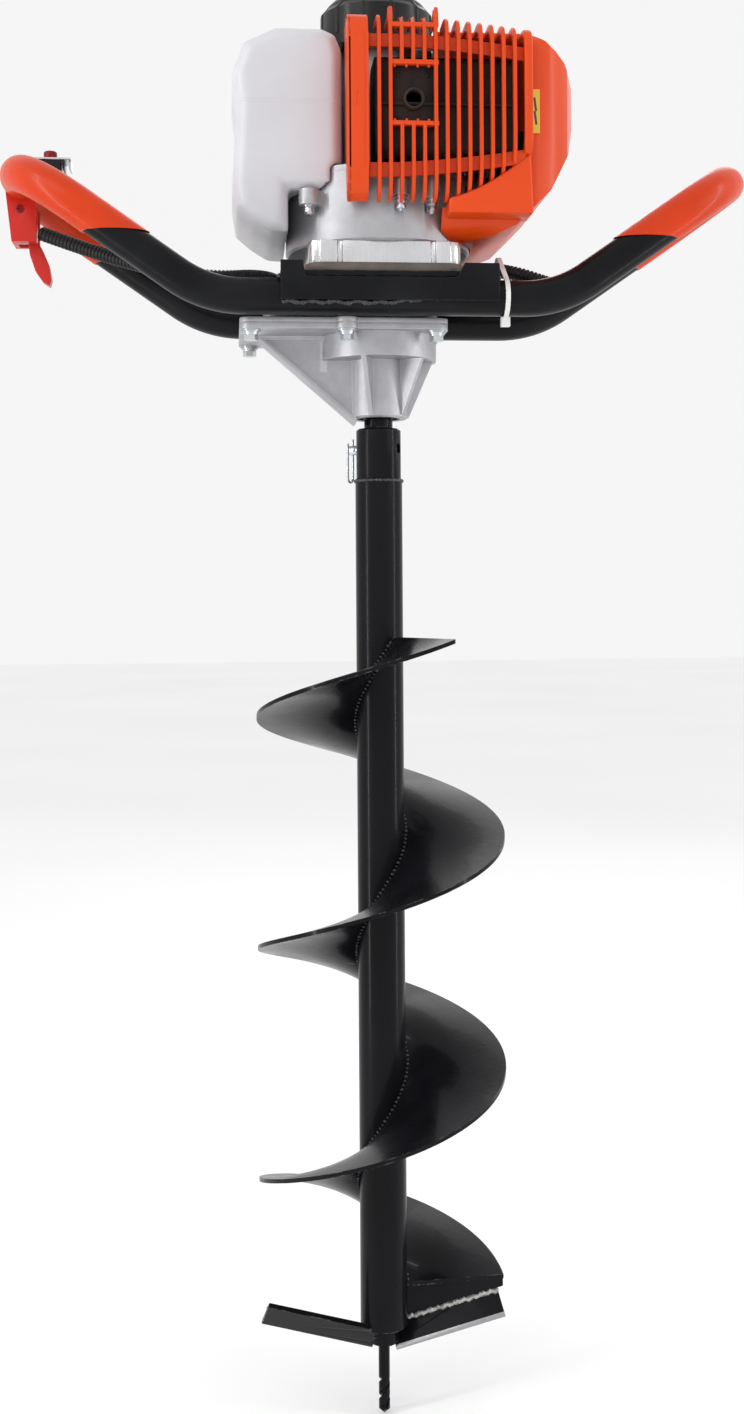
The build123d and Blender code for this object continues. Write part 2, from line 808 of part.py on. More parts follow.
def damper_plate():
    """Thick damping plate between the frame and the engine."""
    half = (damper_half_width, damper_half_depth)
    bottom = plate_top() + seat_gap
    body = slab(((-half[0], half[0]), (-half[1], half[1])), 16.0, bottom, damper_top())
    body -= rod(drum_radius + bore_clearance, bottom - 1, damper_top() + 1)
    for x, y in adapter_bolts_places():
        body -= rod(bolt_radius + 0.3, bottom - 1, damper_top() + 1, x, y)
    return body


def damper_top():
    return plate_top() + seat_gap + damper_thickness


def adapter_top():
    return damper_top() + adapter_height


def adapter_block():
    """Machined adapter with set-back round lobes at its corners and shallow grooves down its sides."""
    bottom = damper_top() + seat_gap
    top = adapter_top()
    half_x, half_y = adapter_half_width, adapter_half_depth
    lobe = 8.0
    body = slab(((-half_x + lobe, half_x - lobe), (-half_y, half_y)), 1.5, bottom, top)
    body += slab(((-half_x, half_x), (-half_y + lobe, half_y - lobe)), 1.5, bottom, top)
    for x in (-half_x + lobe, half_x - lobe):
        for y in (-half_y + lobe + 1, half_y - lobe - 1):
            body += rod(lobe, bottom, top, x, y)
    for x in (-35.0, 37.0):
        for y in (-half_y, half_y):
            body -= rod(2.2, bottom - 1, top + 1, x, y)
    body -= rod(drum_radius + bore_clearance, bottom - 1, top + 1)
    for x, y in adapter_bolts_places():
        body -= rod(bolt_radius + 0.3, bottom - 1, top + 1, x, y)
    return body


# ---------------------------------------------------------------- fan housing, flywheel and clutch
def fan_bottom():
    return adapter_top() + seat_gap


def fan_top():
    return fan_bottom() + fan_height


def fan_housing():
    """Round cast housing round the flywheel fan, with a boss under the tank and a mouth to the cylinder."""
    bottom, top = fan_bottom(), fan_top()
    body = rod(fan_radius, bottom, top)
    body = chamfer(body.edges().sort_by(Axis.Z)[0], 2.0)
    low, high = tank_boss_heights()
    body += rod(boss_radius + 1.5, low, high, *tank_boss_place)
    body += Rot(0, 0, 225) * block((fan_radius - 6, fan_radius + 8), (-6, 6), (low, high))
    for x, y in front_boss_places:
        body += rod(boss_radius, front_boss_bottom(), top, x, y)
    body -= rod(fan_radius - fan_wall, bottom + fan_wall, top + 1)
    body -= rod(drum_radius - 1, bottom - 1, top)
    body -= rod(2.2, low - 1, low + 8, *tank_boss_place)
    for x, y in front_boss_places:
        body -= rod(2.2, front_boss_bottom() - 1, front_boss_bottom() + 9, x, y)
        body -= rod(boss_radius - 0.6, front_boss_bottom() - 10, front_boss_bottom(), x, y)
    mouth = block((fan_radius - 12, fan_radius + 2), (-30, 30), (bottom + 14, top + 1))
    return body - mouth


def tank_boss_heights():
    """Bottom and top of the boss that the tank is screwed to."""
    return tank_bottom - 12, tank_bottom - seat_gap


def front_boss_bottom():
    """Lower end of the screw bosses under the muffler."""
    return guard_bottom + 6


def housing_screws():
    """Screws that show under the tank and under the muffler guard, and the adapter's four bolts."""
    low = tank_boss_heights()[0] - seat_gap
    pieces = [hex_bolt(*tank_boss_place, low, low + 7, 2.0, 3.2)]
    for x, y in front_boss_places:
        low = front_boss_bottom() - seat_gap
        pieces.append(hex_bolt(x, y, low, low + 8, 2.0, 3.6))
    for x, y in adapter_bolts_places():
        head = plate_top() - plate_thickness - seat_gap
        pieces.append(rod(bolt_radius, head, head + plate_thickness + damper_thickness + adapter_height, x, y))
    return pieces


def flywheel():
    """Flywheel with its fan blades, and below it the two arms that carry the clutch shoes."""
    bottom = flywheel_bottom
    top = bottom + flywheel_thickness
    body = rod(flywheel_radius, bottom, top)
    body += rod(20.0, bottom, top + fan_blade_height)
    blade = block((24.0, flywheel_radius - 2), (-1.2, 1.2), (top - 1, top + fan_blade_height))
    for index in range(fan_blade_count):
        body += Rot(0, 0, 360 * index / fan_blade_count) * blade
    body += rod(shoe_inner_radius - 2, shoe_bottom, bottom + 1)
    half = shoe_arm_width / 2
    reach = shoe_radius - 7
    body += block((-half, half), (-reach, reach), (shoe_bottom, shoe_bottom + shoe_height))
    return body - rod(crank_bearing[0] + seat_gap, shoe_bottom - 1, top + fan_blade_height + 1)


def clutch_shoe(side):
    """Half-moon clutch shoe, slotted to slide on the flywheel's arm."""
    travel_room = 2.0
    body = ring(shoe_radius, shoe_inner_radius, shoe_bottom, shoe_bottom + shoe_height)
    gap = 3.0
    half = (gap, 50) if side > 0 else (-50, -gap)
    body &= block((-50, 50), half, (shoe_bottom - 1, shoe_bottom + shoe_height + 1))
    half = shoe_arm_width / 2 + seat_gap
    reach = shoe_radius - 7 + seat_gap
    slot_y = (0, reach) if side > 0 else (-reach, 0)
    body -= block((-half, half), slot_y, (shoe_bottom - travel_room, shoe_bottom + shoe_height + travel_room))
    return body


# ---------------------------------------------------------------- crankcase, crank, cylinder and piston
def crankcase():
    """Crankcase: flange on the fan housing, body round the crank, cylinder face, and the starter's neck."""
    bottom = fan_top() + seat_gap
    top = bottom + case_flange + crankcase_height
    body = rod(fan_radius, bottom, bottom + case_flange)
    body += rod(crankcase_radius, bottom, top)
    face = fin_half_width - 8
    low, high = crank_height - face, crank_height + face
    body += block((0, cylinder_start - seat_gap), (-face, face), (low, high))
    body += rod(starter_neck_radius, top - 1, neck_top)
    half = web_cavity_half()
    body -= rod(web_radius + 3, crank_height - half, crank_height + half)
    body -= rod_x(bore_radius + 0.5, crank_bearing[1] + 1, cylinder_start + 1, 0, crank_height)
    low_seat = crank_height - half - crank_bearing[2] - 1
    body -= rod(crank_bearing[1], low_seat, crank_height + half + crank_bearing[2] + 1)
    return body - rod(crank_bearing[0] + 2, bottom - 1, neck_top + 1)


def web_cavity_half():
    """Half the height of the room for the crank webs."""
    return rod_gap / 2 + web_thickness + 1.5


def crankshaft():
    """Two crank halves, each a full round web with its shaft; the crank pin is kept with the connecting rod."""
    radius = crank_bearing[0]
    low = crank_height - rod_gap / 2
    high = crank_height + rod_gap / 2
    lower = rod(radius, shoe_bottom, low - 1) + rod(web_radius, low - web_thickness, low)
    upper = rod(radius, high + 1, starter_bottom - 1) + rod(web_radius, high, high + web_thickness)
    return [lower, upper]


def piston():
    """Piston with ring grooves, at the top of its stroke."""
    wrist = stroke / 2 + rod_length
    start = wrist - (piston_height - piston_crown)
    body = rod_x(bore_radius - run_gap, start, wrist + piston_crown, 0, crank_height)
    body -= rod_x(bore_radius - 3.5, start - 1, wrist + piston_crown - 4, 0, crank_height)
    for index in range(2):
        x = wrist + piston_crown - 4.5 - 3.0 * index
        groove = rod_x(bore_radius + 1, x, x + 1.2, 0, crank_height)
        body -= groove - rod_x(bore_radius - 1.2, x - 1, x + 3, 0, crank_height)
    return body - Pos(wrist, 0, crank_height) * Cylinder(5.0 + run_gap, 3 * bore_radius)


def connecting_rod():
    """Rod between the crank pin and the wrist pin, with both pins."""
    half = rod_gap / 2 - 1.0
    big, small = stroke / 2, stroke / 2 + rod_length
    low, high = crank_height - half, crank_height + half
    body = rod(11.0, low, high, big) + rod(8.0, low, high, small)
    body += block((big, small), (-4, 4), (low + 2, high - 2))
    body -= rod(6.0 + run_gap, low - 1, high + 1, big)
    body -= rod(5.0 + run_gap, low - 1, high + 1, small)
    crank_pin = rod(6.0, crank_height - rod_gap / 2 + 0.2, crank_height + rod_gap / 2 - 0.2, big)
    wrist_half = bore_radius - 5.5
    wrist_pin = rod(5.0, crank_height - wrist_half, crank_height + wrist_half, small)
    return [body, crank_pin, wrist_pin]


def cylinder():
    """Finned cylinder with its head, on +X."""
    outer = bore_radius + cylinder_wall
    body = rod_x(outer, cylinder_start, cylinder_end, 0, crank_height)
    foot = fin_half_width - 8
    body += block((cylinder_start, cylinder_start + 6), (-foot, foot), (crank_height - foot, crank_height + foot))
    x = cylinder_start + 12
    while x < cylinder_end - 6:
        half = fin_half_width
        body += block((x, x + fin_thickness), (-half, half), (crank_height - half, crank_height + half))
        x += fin_spacing
    chamber = stroke / 2 + rod_length + piston_crown + 2
    body -= rod_x(bore_radius, cylinder_start - 1, chamber, 0, crank_height)
    return body - rod_x(5.2, chamber - 1, cylinder_end + 1, 0, crank_height)


def spark_plug():
    start = cylinder_end - 9
    body = rod_x(5.0, start, cylinder_end + seat_gap, 0, crank_height)
    hexagon = Pos(cylinder_end + seat_gap, 0, crank_height) * Rot(0, 90, 0) * extrude(RegularPolygon(9.0, 6), 7)
    return body + hexagon + rod_x(4.5, cylinder_end + 6, cylinder_end + 22, 0, crank_height)


def plug_cap():
    """Rubber cap on the spark plug, with the stub of its lead turned down."""
    start = cylinder_end + 9
    body = rod_x(9.0, start, cylinder_end + 32, 0, crank_height)
    body = fillet(body.edges().filter_by(GeomType.CIRCLE).sort_by(Axis.X)[-1], 3.0)
    body += rod(4.5, crank_height - 20, crank_height, cylinder_end + 25)
    return body - rod_x(4.5 + seat_gap, start - 1, cylinder_end + 23, 0, crank_height)


# ---------------------------------------------------------------- recoil starter
def starter_housing():
    """Stepped dome over the starter pulley, on a flange that sits on the crankcase neck."""
    outer = [
        (0, starter_bottom),
        (starter_radius, starter_bottom),
        (starter_radius, starter_shoulder - 4),
        (starter_radius - 4, starter_shoulder),
        (starter_plateau + 4, starter_top - 4),
        (starter_plateau, starter_top),
        (0, starter_top),
    ]
    inner = [
        (0, starter_bottom - 1),
        (starter_radius - starter_wall, starter_bottom - 1),
        (starter_radius - starter_wall, starter_shoulder - 4.5),
        (starter_radius - 6, starter_shoulder - 2),
        (starter_plateau + 1, starter_top - 6),
        (starter_plateau - 1, starter_top - starter_wall),
        (0, starter_top - starter_wall),
    ]
    body = turned(outer) - turned(inner)
    floor_bottom = neck_top + seat_gap
    body += ring(starter_radius, 12.0, floor_bottom, starter_bottom)
    body += rod(5.0, starter_bottom + 3, starter_top - 1)
    mouth_y = starter_radius - 6
    body += rod_y(6.0, mouth_y, starter_handle_y - 1, pulley_radius, rope_height)
    room = rod(starter_radius - starter_wall, starter_bottom, starter_shoulder - 5)
    body -= room - rod(5.0, 0, starter_top)
    return body - rod_y(rope_radius + 1, 10, starter_handle_y + 1, pulley_radius, rope_height)


def turned(points):
    """Solid of revolution round Z from (radius, height) points."""
    return revolve(Plane.XZ * make_face(Polyline(*points, close=True)), Axis.Z)


def starter_pulley():
    """Rope pulley with two cheeks, turning on the housing's post."""
    half = 4.5
    body = rod(pulley_radius - rope_radius, rope_height - half, rope_height + half)
    for low in (rope_height - half, rope_height + half - 1.5):
        body += rod(pulley_radius + 4, low, low + 1.5)
    return body - rod(5.0 + run_gap, 0, starter_top)


def starter_rope():
    """The rope's straight stretch, from the pulley to the knot in the handle."""
    return rod_y(rope_radius, 4.0, starter_handle_y + 8, pulley_radius, rope_height)


def starter_handle():
    """Pull grip, upright, with the neck that rests on the rope's eyelet."""
    y = starter_handle_y
    body = rod(9.5, rope_height - 30, rope_height + 30, pulley_radius, y + 14)
    body = fillet(body.edges().filter_by(GeomType.CIRCLE), 5.0)
    body += rod_y(6.5, y, y + 10, pulley_radius, rope_height)
    return body - rod_y(rope_radius + seat_gap, y - 1, y + 8 + seat_gap, pulley_radius, rope_height)


# ---------------------------------------------------------------- fuel tank
def fuel_tank():
    """Moulded tank: tall main part, lobe hanging down at the far left, cleared round the engine."""
    left, right, top = tank_left, tank_right, tank_top
    outline = [
        (left + 34, top),
        (right - 16, top),
        (right - 5, top - 5),
        (right, top - 18),
        (right, tank_bottom + 12),
        (right - 4, tank_bottom + 3),
        (right - 12, tank_bottom),
        (tank_lobe_right, tank_bottom),
        (tank_lobe_right, tank_lobe_bottom),
        (tank_lobe_right - 14, tank_lobe_bottom + 1),
        (left + 16, tank_lobe_bottom + 9),
        (left + 3, tank_lobe_bottom + 20),
        (left, tank_lobe_bottom + 40),
        (left + 3.5, tank_lobe_bottom + 96),
        (left, tank_lobe_bottom + 122),
        (left + 9, tank_lobe_bottom + 146),
    ]
    body = profile_y(outline, -tank_half_depth, tank_half_depth)
    ends = body.edges().group_by(Axis.Y)
    body = chamfer(ends[0] + ends[-1], tank_edge * 0.6)
    body -= rod(crankcase_radius + 3, tank_lobe_bottom - 50, neck_top)
    body -= rod(starter_radius + 1.5, neck_top - 1, tank_top + 5)
    body -= rod(fan_radius + 1.5, tank_lobe_bottom - 50, fan_top() + case_flange + 1.5)
    return body + rod(cap_radius - 3, tank_top - 1, tank_top + 4, cap_x, cap_y)


def fuel_cap():
    """Knurled screw cap."""
    bottom = tank_top + 4 + seat_gap
    body = rod(cap_radius, bottom, bottom + 14, cap_x, cap_y)
    body = fillet(body.edges().sort_by(Axis.Z)[-1], 2.0)
    for index in range(24):
        angle = 2 * pi * index / 24
        body -= rod(1.3, bottom - 1, bottom + 11, cap_x + cap_radius * cos(angle), cap_y + cap_radius * sin(angle))
    return body


# ---------------------------------------------------------------- muffler, guard, cover
def muffler():
    """Pressed-steel muffler box with its outlet stub and the collar to the exhaust port."""
    body = block((muffler_left, muffler_right), (muffler_front, muffler_back), (muffler_bottom, muffler_top))
    body = fillet(body.edges().filter_by(Axis.X), 9.0)
    stub = rod_y(outlet_radius + 2, muffler_front - outlet_length + 1, muffler_front + 1, outlet_x, outlet_z)
    body += stub
    wall = muffler_wall
    room = block(
        (muffler_left + wall, muffler_right - wall),
        (muffler_front + wall, muffler_back - wall),
        (muffler_bottom + wall, muffler_top - wall),
    )
    body -= fillet(room.edges().filter_by(Axis.X), 9.0 - wall)
    body -= rod_y(outlet_radius, muffler_front - outlet_length, muffler_front + wall + 1, outlet_x, outlet_z)
    collar = block((62, 84), (muffler_back - 1, -fin_half_width - seat_gap), (crank_height - 12, crank_height + 12))
    return body + collar


def guard_shell(front, top, bottom, left, right):
    """Guard outline pulled along X: front face rolled over into the top and the bottom."""
    back = guard_front + guard_depth
    low_back = guard_front + 14
    corners = [(front, bottom), (front, top), (back, top), (back, top - 6), (low_back, bottom)]
    body = profile_x(make_face(Polyline(*corners, close=True)), left, right)
    roll = body.edges().filter_by(Axis.X).sort_by(Axis.Y)[:2]
    return fillet(roll, guard_roll)


def muffler_guard():
    """Grille of thin upright slats between two bands, solid at its left end, with a window at the outlet."""
    wall = guard_wall
    body = guard_shell(guard_front, guard_top, guard_bottom, guard_left, guard_right)
    inner = guard_shell(guard_front + wall, guard_top - wall, guard_bottom + wall, guard_left + wall, guard_right + 1)
    back = block((guard_left + wall, guard_right + 1), (guard_front + 13, 20), (guard_bottom - 9, guard_top - wall))
    body = body - inner - back
    slot = slat_spacing - guard_wall
    deep = guard_front + guard_depth - 4
    rows = (
        (guard_bottom + 5, guard_band_bottom - guard_band_width / 2),
        (guard_band_bottom + guard_band_width / 2, guard_band_top - guard_band_width / 2),
        (guard_band_top + guard_band_width / 2, guard_top + 2),
    )
    for index in range(-1, slat_count):
        left = slat_first + slat_spacing * index + wall / 2
        for low, high in rows:
            body -= block((left, left + slot), (guard_front - 1, deep), (low, high))
    body -= block((window_left, window_right), (guard_front - 1, guard_front + 6), (window_bottom, window_top))
    frame = block((window_left - wall, window_right + wall), (guard_front, guard_front + wall), (window_bottom - 4, window_top + 4))
    frame -= block((window_left, window_right), (guard_front - 1, guard_front + 6), (window_bottom, window_top))
    body += frame
    for x in (window_left - wall, window_right):
        body += block((x, x + wall), (guard_front, guard_front + wall), (guard_band_top, spike_top))
    return max(body.solids(), key=lambda solid: solid.volume)


def cowl_hull(outline, inset):
    """Shape with the outline from the front, its corners rounded in plan and seen from the side."""
    front, back = cowl_front + inset, cowl_back - inset
    left, right = cowl_left - 2 - inset, max(x for x, z in outline)
    top, foot = max(z for x, z in outline), min(z for x, z in outline)
    body = profile_y(outline, front, back)
    corner = [(right - across, front + deep) for across, deep in cowl_plan_corner]
    plan = [(left, front)] + corner + [(x, front + back - y) for x, y in reversed(corner)] + [(left, back)]
    body &= Pos(0, 0, foot - 5) * extrude(make_face(Polyline(plan + plan[:1])), top - foot + 10)
    high = [(front + deep, top - down) for deep, down in cowl_top_corner]
    low = [(front + deep, foot + up) for deep, up in cowl_foot_corner]
    side = low[::-1] + high
    side = side + [(front + back - y, z) for y, z in reversed(side)]
    return body & profile_x(make_face(Polyline(side + side[:1])), left - 5, right + 5)


def cylinder_cover():
    """Cowl over the cylinder, open to the left, cut round the fan housing, muffler and carburettor."""
    left = cowl_left
    low = [cowl_low, (left, cowl_foot)]
    outer = [(left, cowl_outline[0][1])] + cowl_outline + low
    wall = cowl_wall
    shrink = [(x - wall, z + (wall if z < crank_height else -wall)) for x, z in cowl_outline]
    inner = [(left - 1, cowl_outline[0][1] - wall)] + shrink
    inner += [(cowl_low[0] - 1, cowl_low[1] + wall), (left - 1, cowl_foot + wall)]
    body = cowl_hull(outer, 0)
    hollow = cowl_hull(inner, wall)
    body -= hollow
    body -= rod(fan_radius + 1.0, cowl_foot - 5, fan_top() + case_flange + 1.5)
    body -= rod(starter_radius + 1.0, neck_top - 1, starter_top)
    for x, y in front_boss_places:
        body -= rod(boss_radius + 1.5, front_boss_bottom() - 12, fan_top() + 2, x, y)
    body -= block((left - 1, left + 14), (60, cowl_back + 1), (cowl_foot - 5, muffler_top))
    guard_back = guard_front + guard_depth + 1
    body -= block((left - 1, guard_right + 1), (cowl_front - 1, guard_back), (guard_bottom - 1, guard_top + 1))
    body -= block((left - 1, muffler_right + 6), (40, cowl_back + 1), (muffler_bottom - 6, muffler_top + 4))
    for index in range(5):
        z = 990.0 + 14 * index
        body -= block((128, 160), (-30, 30), (z, z + 5))
    return max(body.solids(), key=lambda solid: solid.volume)


# ---------------------------------------------------------------- intake side
def carburettor():
    """Intake block and carburettor behind the cylinder, with the throttle shaft and the conduit's bracket."""
    body = block((50, 76), (fin_half_width + seat_gap, 50), (crank_height - 15, crank_height + 15))
    body += block((46, 80), (50, 82), (crank_height - 18, crank_height + 18))
    body += rod_x(3.0, 38, 47, 62, crank_height)
    x, y, top = conduit_route[-1]
    body += block((x - 6, 50), (y - 6, y + 6), (top + 2.4, top + 4.4))
    body += block((46, 50), (y - 6, y + 6), (top + 2.4, crank_height - 17))
    body -= rod(1.5, top, top + 6, x, y)
    body -= rod_y(8.0, 40, 90, 63, crank_height)
    return body


def throttle_arm():
    """Arm on the throttle shaft that the cable pulls."""
    plate = rod_x(6.0, 40.5, 43.0, 62, crank_height)
    plate += block((40.5, 43.0), (62.0, 74.0), (crank_height - 2, crank_height + 2))
    plate += rod_x(3.0, 40.5, 43.0, 74.0, crank_height)
    return plate - rod_x(3.0 + run_gap, 38, 46, 62, crank_height)


def air_filter_cover():
    """Filter box behind the carburettor, with a raised rim and a round knob."""
    body = block((50, 118), (82.5, filter_back), (992, 1074))
    body = fillet(body.edges().filter_by(Axis.Y), 12.0)
    body = fillet(body.edges().group_by(Axis.Y)[-1], 8.0)
    room = block((53, 115), (85.5, filter_back - 3), (995, 1071))
    body -= fillet(room.edges(), 7.0)
    return body - rod_y(9.0, 81, 87, 63, crank_height)


def choke_lever():
    """Small lever on the side of the filter box."""
    pivot_z = crank_height + 20
    body = rod_x(6.0, 45.5, 49.9, 100, pivot_z)
    body += block((45.5, 48.0), (97, 103), (pivot_z, pivot_z + 20))
    return body + rod_x(4.0, 42.5, 48.0, 100, pivot_z + 20)


# ---------------------------------------------------------------- controls on the left loop
def loop_clearance():
    """Solid round the left loop, to cut saddles for what sits on it."""
    return swept_tube(-1, handle_radius + grip_thickness + seat_gap)


def throttle_housing():
    """Housing under the left loop: two cheeks joined by a web, with the trigger's pin between them."""
    x = (throttle_left, throttle_right)
    y = (throttle_front, throttle_back)
    body = block(x, y, (throttle_bottom, 995.0))
    body -= loop_clearance()
    gap_front = trigger_centre - trigger_half_width - 0.3
    gap_back = trigger_centre + trigger_half_width + 0.3
    body = body.solids().sort_by(Axis.Z)[0]
    body = Part() + body
    slot = block((throttle_left + 4.0, throttle_right + 5), (gap_front, gap_back), (throttle_bottom - 5, 984.0))
    body -= slot
    pivot = rod_y(2.5, gap_front - 1, gap_back + 1, *throttle_pivot)
    body += pivot
    return max(body.solids(), key=lambda solid: solid.volume)


def throttle_trigger():
    """Finger lever: hub on the pin and a leaf-shaped blade hanging below."""
    px, pz = throttle_pivot
    tx, tz = trigger_tip
    low, high = trigger_centre - trigger_half_width, trigger_centre + trigger_half_width
    length = sqrt((tx - px) ** 2 + (tz - pz) ** 2)
    angle = degrees(atan2(tz - pz, tx - px))
    leaf = [(0, -3.5), (22, -3.0), (34, -6.0), (48, -6.5), (length - 5, -4), (length, 0)]
    leaf += [(length - 5, 3.5), (48, 5.5), (34, 5.0), (22, 3.0), (0, 3.5)]
    points = []
    for along, across in leaf:
        ca, sa = cos(radians(angle)), sin(radians(angle))
        points.append((px + along * ca - across * sa, pz + along * sa + across * ca))
    body = profile_y(points, low, high) + rod_y(4.3, low, high, px, pz)
    return body - rod_y(2.5 + run_gap, low - 1, high + 1, px, pz)


def stop_switch_body():
    """Switch body saddled on the loop, under its bent metal plate."""
    x = (switch_x - 9, switch_x + 9)
    y = (switch_y - 10, switch_y + 10)
    body = block(x, y, (994.0, switch_top)) - loop_clearance()
    body = Part() + body.solids().sort_by(Axis.Z)[-1]
    body += block((switch_x - 13, switch_x + 12), y, (switch_top, switch_top + 1.5))
    body += block((switch_x + 10.5, switch_x + 12), y, (switch_top - 7, switch_top + 1.5))
    return body - rod(button_radius + 0.1, switch_top - 9, switch_top + 5, switch_x, switch_y)


def stop_button():
    """Push button; at rest it stands clear of the bottom of its hole by its travel."""
    body = rod(button_radius, switch_top - 5, switch_top + 9, switch_x, switch_y)
    return chamfer(body.edges().sort_by(Axis.Z)[-1], 1.0)


# ---------------------------------------------------------------- conduit and tie
def corner_radii(points):
    """For each corner, the largest arc that takes 0.45 of the shorter run beside it."""
    radii = []
    for before, corner, after in zip(points, points[1:], points[2:]):
        into, out = Vector(corner) - Vector(before), Vector(after) - Vector(corner)
        half_turn = radians(into.get_angle(out)) / 2
        radii.append(0.45 * min(into.length, out.length) / tan(half_turn))
    return radii


def throttle_conduit():
    """Ribbed conduit with the throttle cable and the switch wires in it, as a plain tube."""
    radii = corner_radii(conduit_route)
    path = FilletPolyline(*conduit_route, radius=radii)
    start = Vector(conduit_route[0])
    plane = Plane(origin=start, z_dir=Vector(conduit_route[1]) - start)
    tube = sweep(plane * Circle(conduit_radius), path=path)
    print("conduit length", round(path.length), "radii", [round(radius) for radius in radii])
    print("conduit volume over section times length", round(tube.volume / (pi * conduit_radius**2 * path.length), 4))
    return tube


def cable_tie():
    """Tie round the front leg and the conduit, with its head below."""
    y, z = -handle_spacing, handle_height
    inner = handle_radius + free_gap
    thickness = 1.4
    centres = [(y, z, inner), (*tie_conduit, conduit_radius + 3.2)]

    def hull(extra):
        (y0, z0, r0), (y1, z1, r1) = centres
        span = sqrt((y1 - y0) ** 2 + (z1 - z0) ** 2)
        heading = atan2(z1 - z0, y1 - y0)
        spread = acos((r0 - r1) / span)
        points = []
        for angle in (heading + spread, heading - spread):
            for cy, cz, radius in centres:
                points.append((cy + (radius + extra) * cos(angle), cz + (radius + extra) * sin(angle)))
        quad = [points[0], points[1], points[3], points[2]]
        face = make_face(Polyline(*quad, close=True))
        for cy, cz, radius in centres:
            face += Pos(cy, cz) * Circle(radius + extra)
        return profile_x(face, tie_x, tie_x + 3.6)

    body = hull(thickness) - hull(0.0)
    head_z = z - inner - thickness
    head = block((tie_x - 1.6, tie_x + 5.2), (y - 3.5, y + 2.5), (head_z - 6, head_z + 1.0))
    return body + (head - hull(0.0))


# ---------------------------------------------------------------- write everything
def write_bit():
    save("bit_tube", bit_tube())
    save("bit_socket", bit_socket())
    save("connecting_pin", connecting_pin())
    save("pin_clip", pin_clip())
    save("pilot_holder", pilot_holder())
    save("pilot_drill", pilot_drill())
    for index, (start, end) in enumerate(zip(flight_angles, flight_angles[1:]), 1):
        piece = flight_piece(start, end)
        save(f"flight_turn_{index}", piece + flight_foot() if index == 1 else piece)
    blade = cutting_blade()
    save("cutting_blades", blade, Rot(0, 0, 180) * blade)
    save("output_shaft", output_shaft())
    save("output_gear", output_gear())


def write_gearbox():
    save("shaft_bearings", *shaft_bearings())
    save("oil_seal", oil_seal())
    save("gearbox_housing", gearbox_housing())
    save("gearbox_cover", gearbox_cover())
    save("gearbox_bolts", *gearbox_bolts())
    save("countershaft", countershaft())
    save("intermediate_gear", intermediate_gear())
    save("clutch_drum", clutch_drum())


def write_frame():
    for name, side in (("left", -1), ("right", 1)):
        save(f"{name}_handle_tube", handle_tube(side))
        save(f"{name}_grip", grip(side))
    save("mounting_plate", mounting_plate())
    save("side_plates", side_plate(-1), side_plate(1))
    save("damper_plate", damper_plate())
    save("adapter_block", adapter_block())


def write_engine():
    save("fan_housing", fan_housing())
    save("housing_screws", *housing_screws())
    save("flywheel", flywheel())
    save("clutch_shoe_front", clutch_shoe(-1))
    save("clutch_shoe_rear", clutch_shoe(1))
    save("crankcase", crankcase())
    save("crankshaft", *crankshaft())
    save("piston", piston())
    save("connecting_rod", *connecting_rod())
    save("cylinder", cylinder())
    save("spark_plug", spark_plug())
    save("plug_cap", plug_cap())
    save("starter_housing", starter_housing())
    save("starter_pulley", starter_pulley())
    save("starter_rope", starter_rope())
    save("starter_handle", starter_handle())


def write_covers_and_controls():
    save("fuel_tank", fuel_tank())
    save("fuel_cap", fuel_cap())
    save("muffler", muffler())
    save("muffler_guard", muffler_guard())
    save("cylinder_cover", cylinder_cover())
    save("carburettor", carburettor())
    save("throttle_arm", throttle_arm())
    save("air_filter_cover", air_filter_cover())
    save("choke_lever", choke_lever())
    save("throttle_housing", throttle_housing())
    save("throttle_trigger", throttle_trigger())
    save("stop_switch_body", stop_switch_body())
    save("stop_button", stop_button())
    save("throttle_conduit", throttle_conduit())
    save("cable_tie", cable_tie())


write_bit()
write_gearbox()
write_frame()
write_engine()
write_covers_and_controls()
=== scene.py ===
"""Petrol auger with a looped two-handed frame: visible pieces, finishes and studio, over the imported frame."""

import json
import math

import bmesh
import bpy
from mathutils import Matrix, Vector

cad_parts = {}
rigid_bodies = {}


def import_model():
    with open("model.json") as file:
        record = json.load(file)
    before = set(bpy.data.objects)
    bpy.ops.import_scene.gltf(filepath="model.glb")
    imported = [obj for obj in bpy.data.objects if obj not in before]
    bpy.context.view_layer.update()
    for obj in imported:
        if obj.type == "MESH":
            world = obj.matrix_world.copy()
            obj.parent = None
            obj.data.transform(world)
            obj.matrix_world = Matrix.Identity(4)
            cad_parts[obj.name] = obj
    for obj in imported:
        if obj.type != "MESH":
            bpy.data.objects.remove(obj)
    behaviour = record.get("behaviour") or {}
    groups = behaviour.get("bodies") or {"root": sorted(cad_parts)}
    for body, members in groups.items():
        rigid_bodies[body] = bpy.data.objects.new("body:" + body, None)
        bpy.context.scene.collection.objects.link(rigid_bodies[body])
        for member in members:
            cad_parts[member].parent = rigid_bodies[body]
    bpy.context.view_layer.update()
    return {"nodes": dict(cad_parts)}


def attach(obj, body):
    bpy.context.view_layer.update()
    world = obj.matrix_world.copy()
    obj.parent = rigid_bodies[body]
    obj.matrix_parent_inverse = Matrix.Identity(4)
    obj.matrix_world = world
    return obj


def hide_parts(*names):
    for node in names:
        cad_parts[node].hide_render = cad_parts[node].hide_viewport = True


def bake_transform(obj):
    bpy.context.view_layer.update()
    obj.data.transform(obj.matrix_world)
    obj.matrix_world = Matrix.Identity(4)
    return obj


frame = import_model()

bl_info = {
    "name": "Petrol auger",
    "version": (1, 0, 0),
    "blender": (4, 5, 0),
    "location": "3D View > Sidebar > Auger",
    "description": "Builds the pieces, finishes and studio of a petrol ice and earth auger",
    "category": "Add Mesh",
}

MM = 0.001


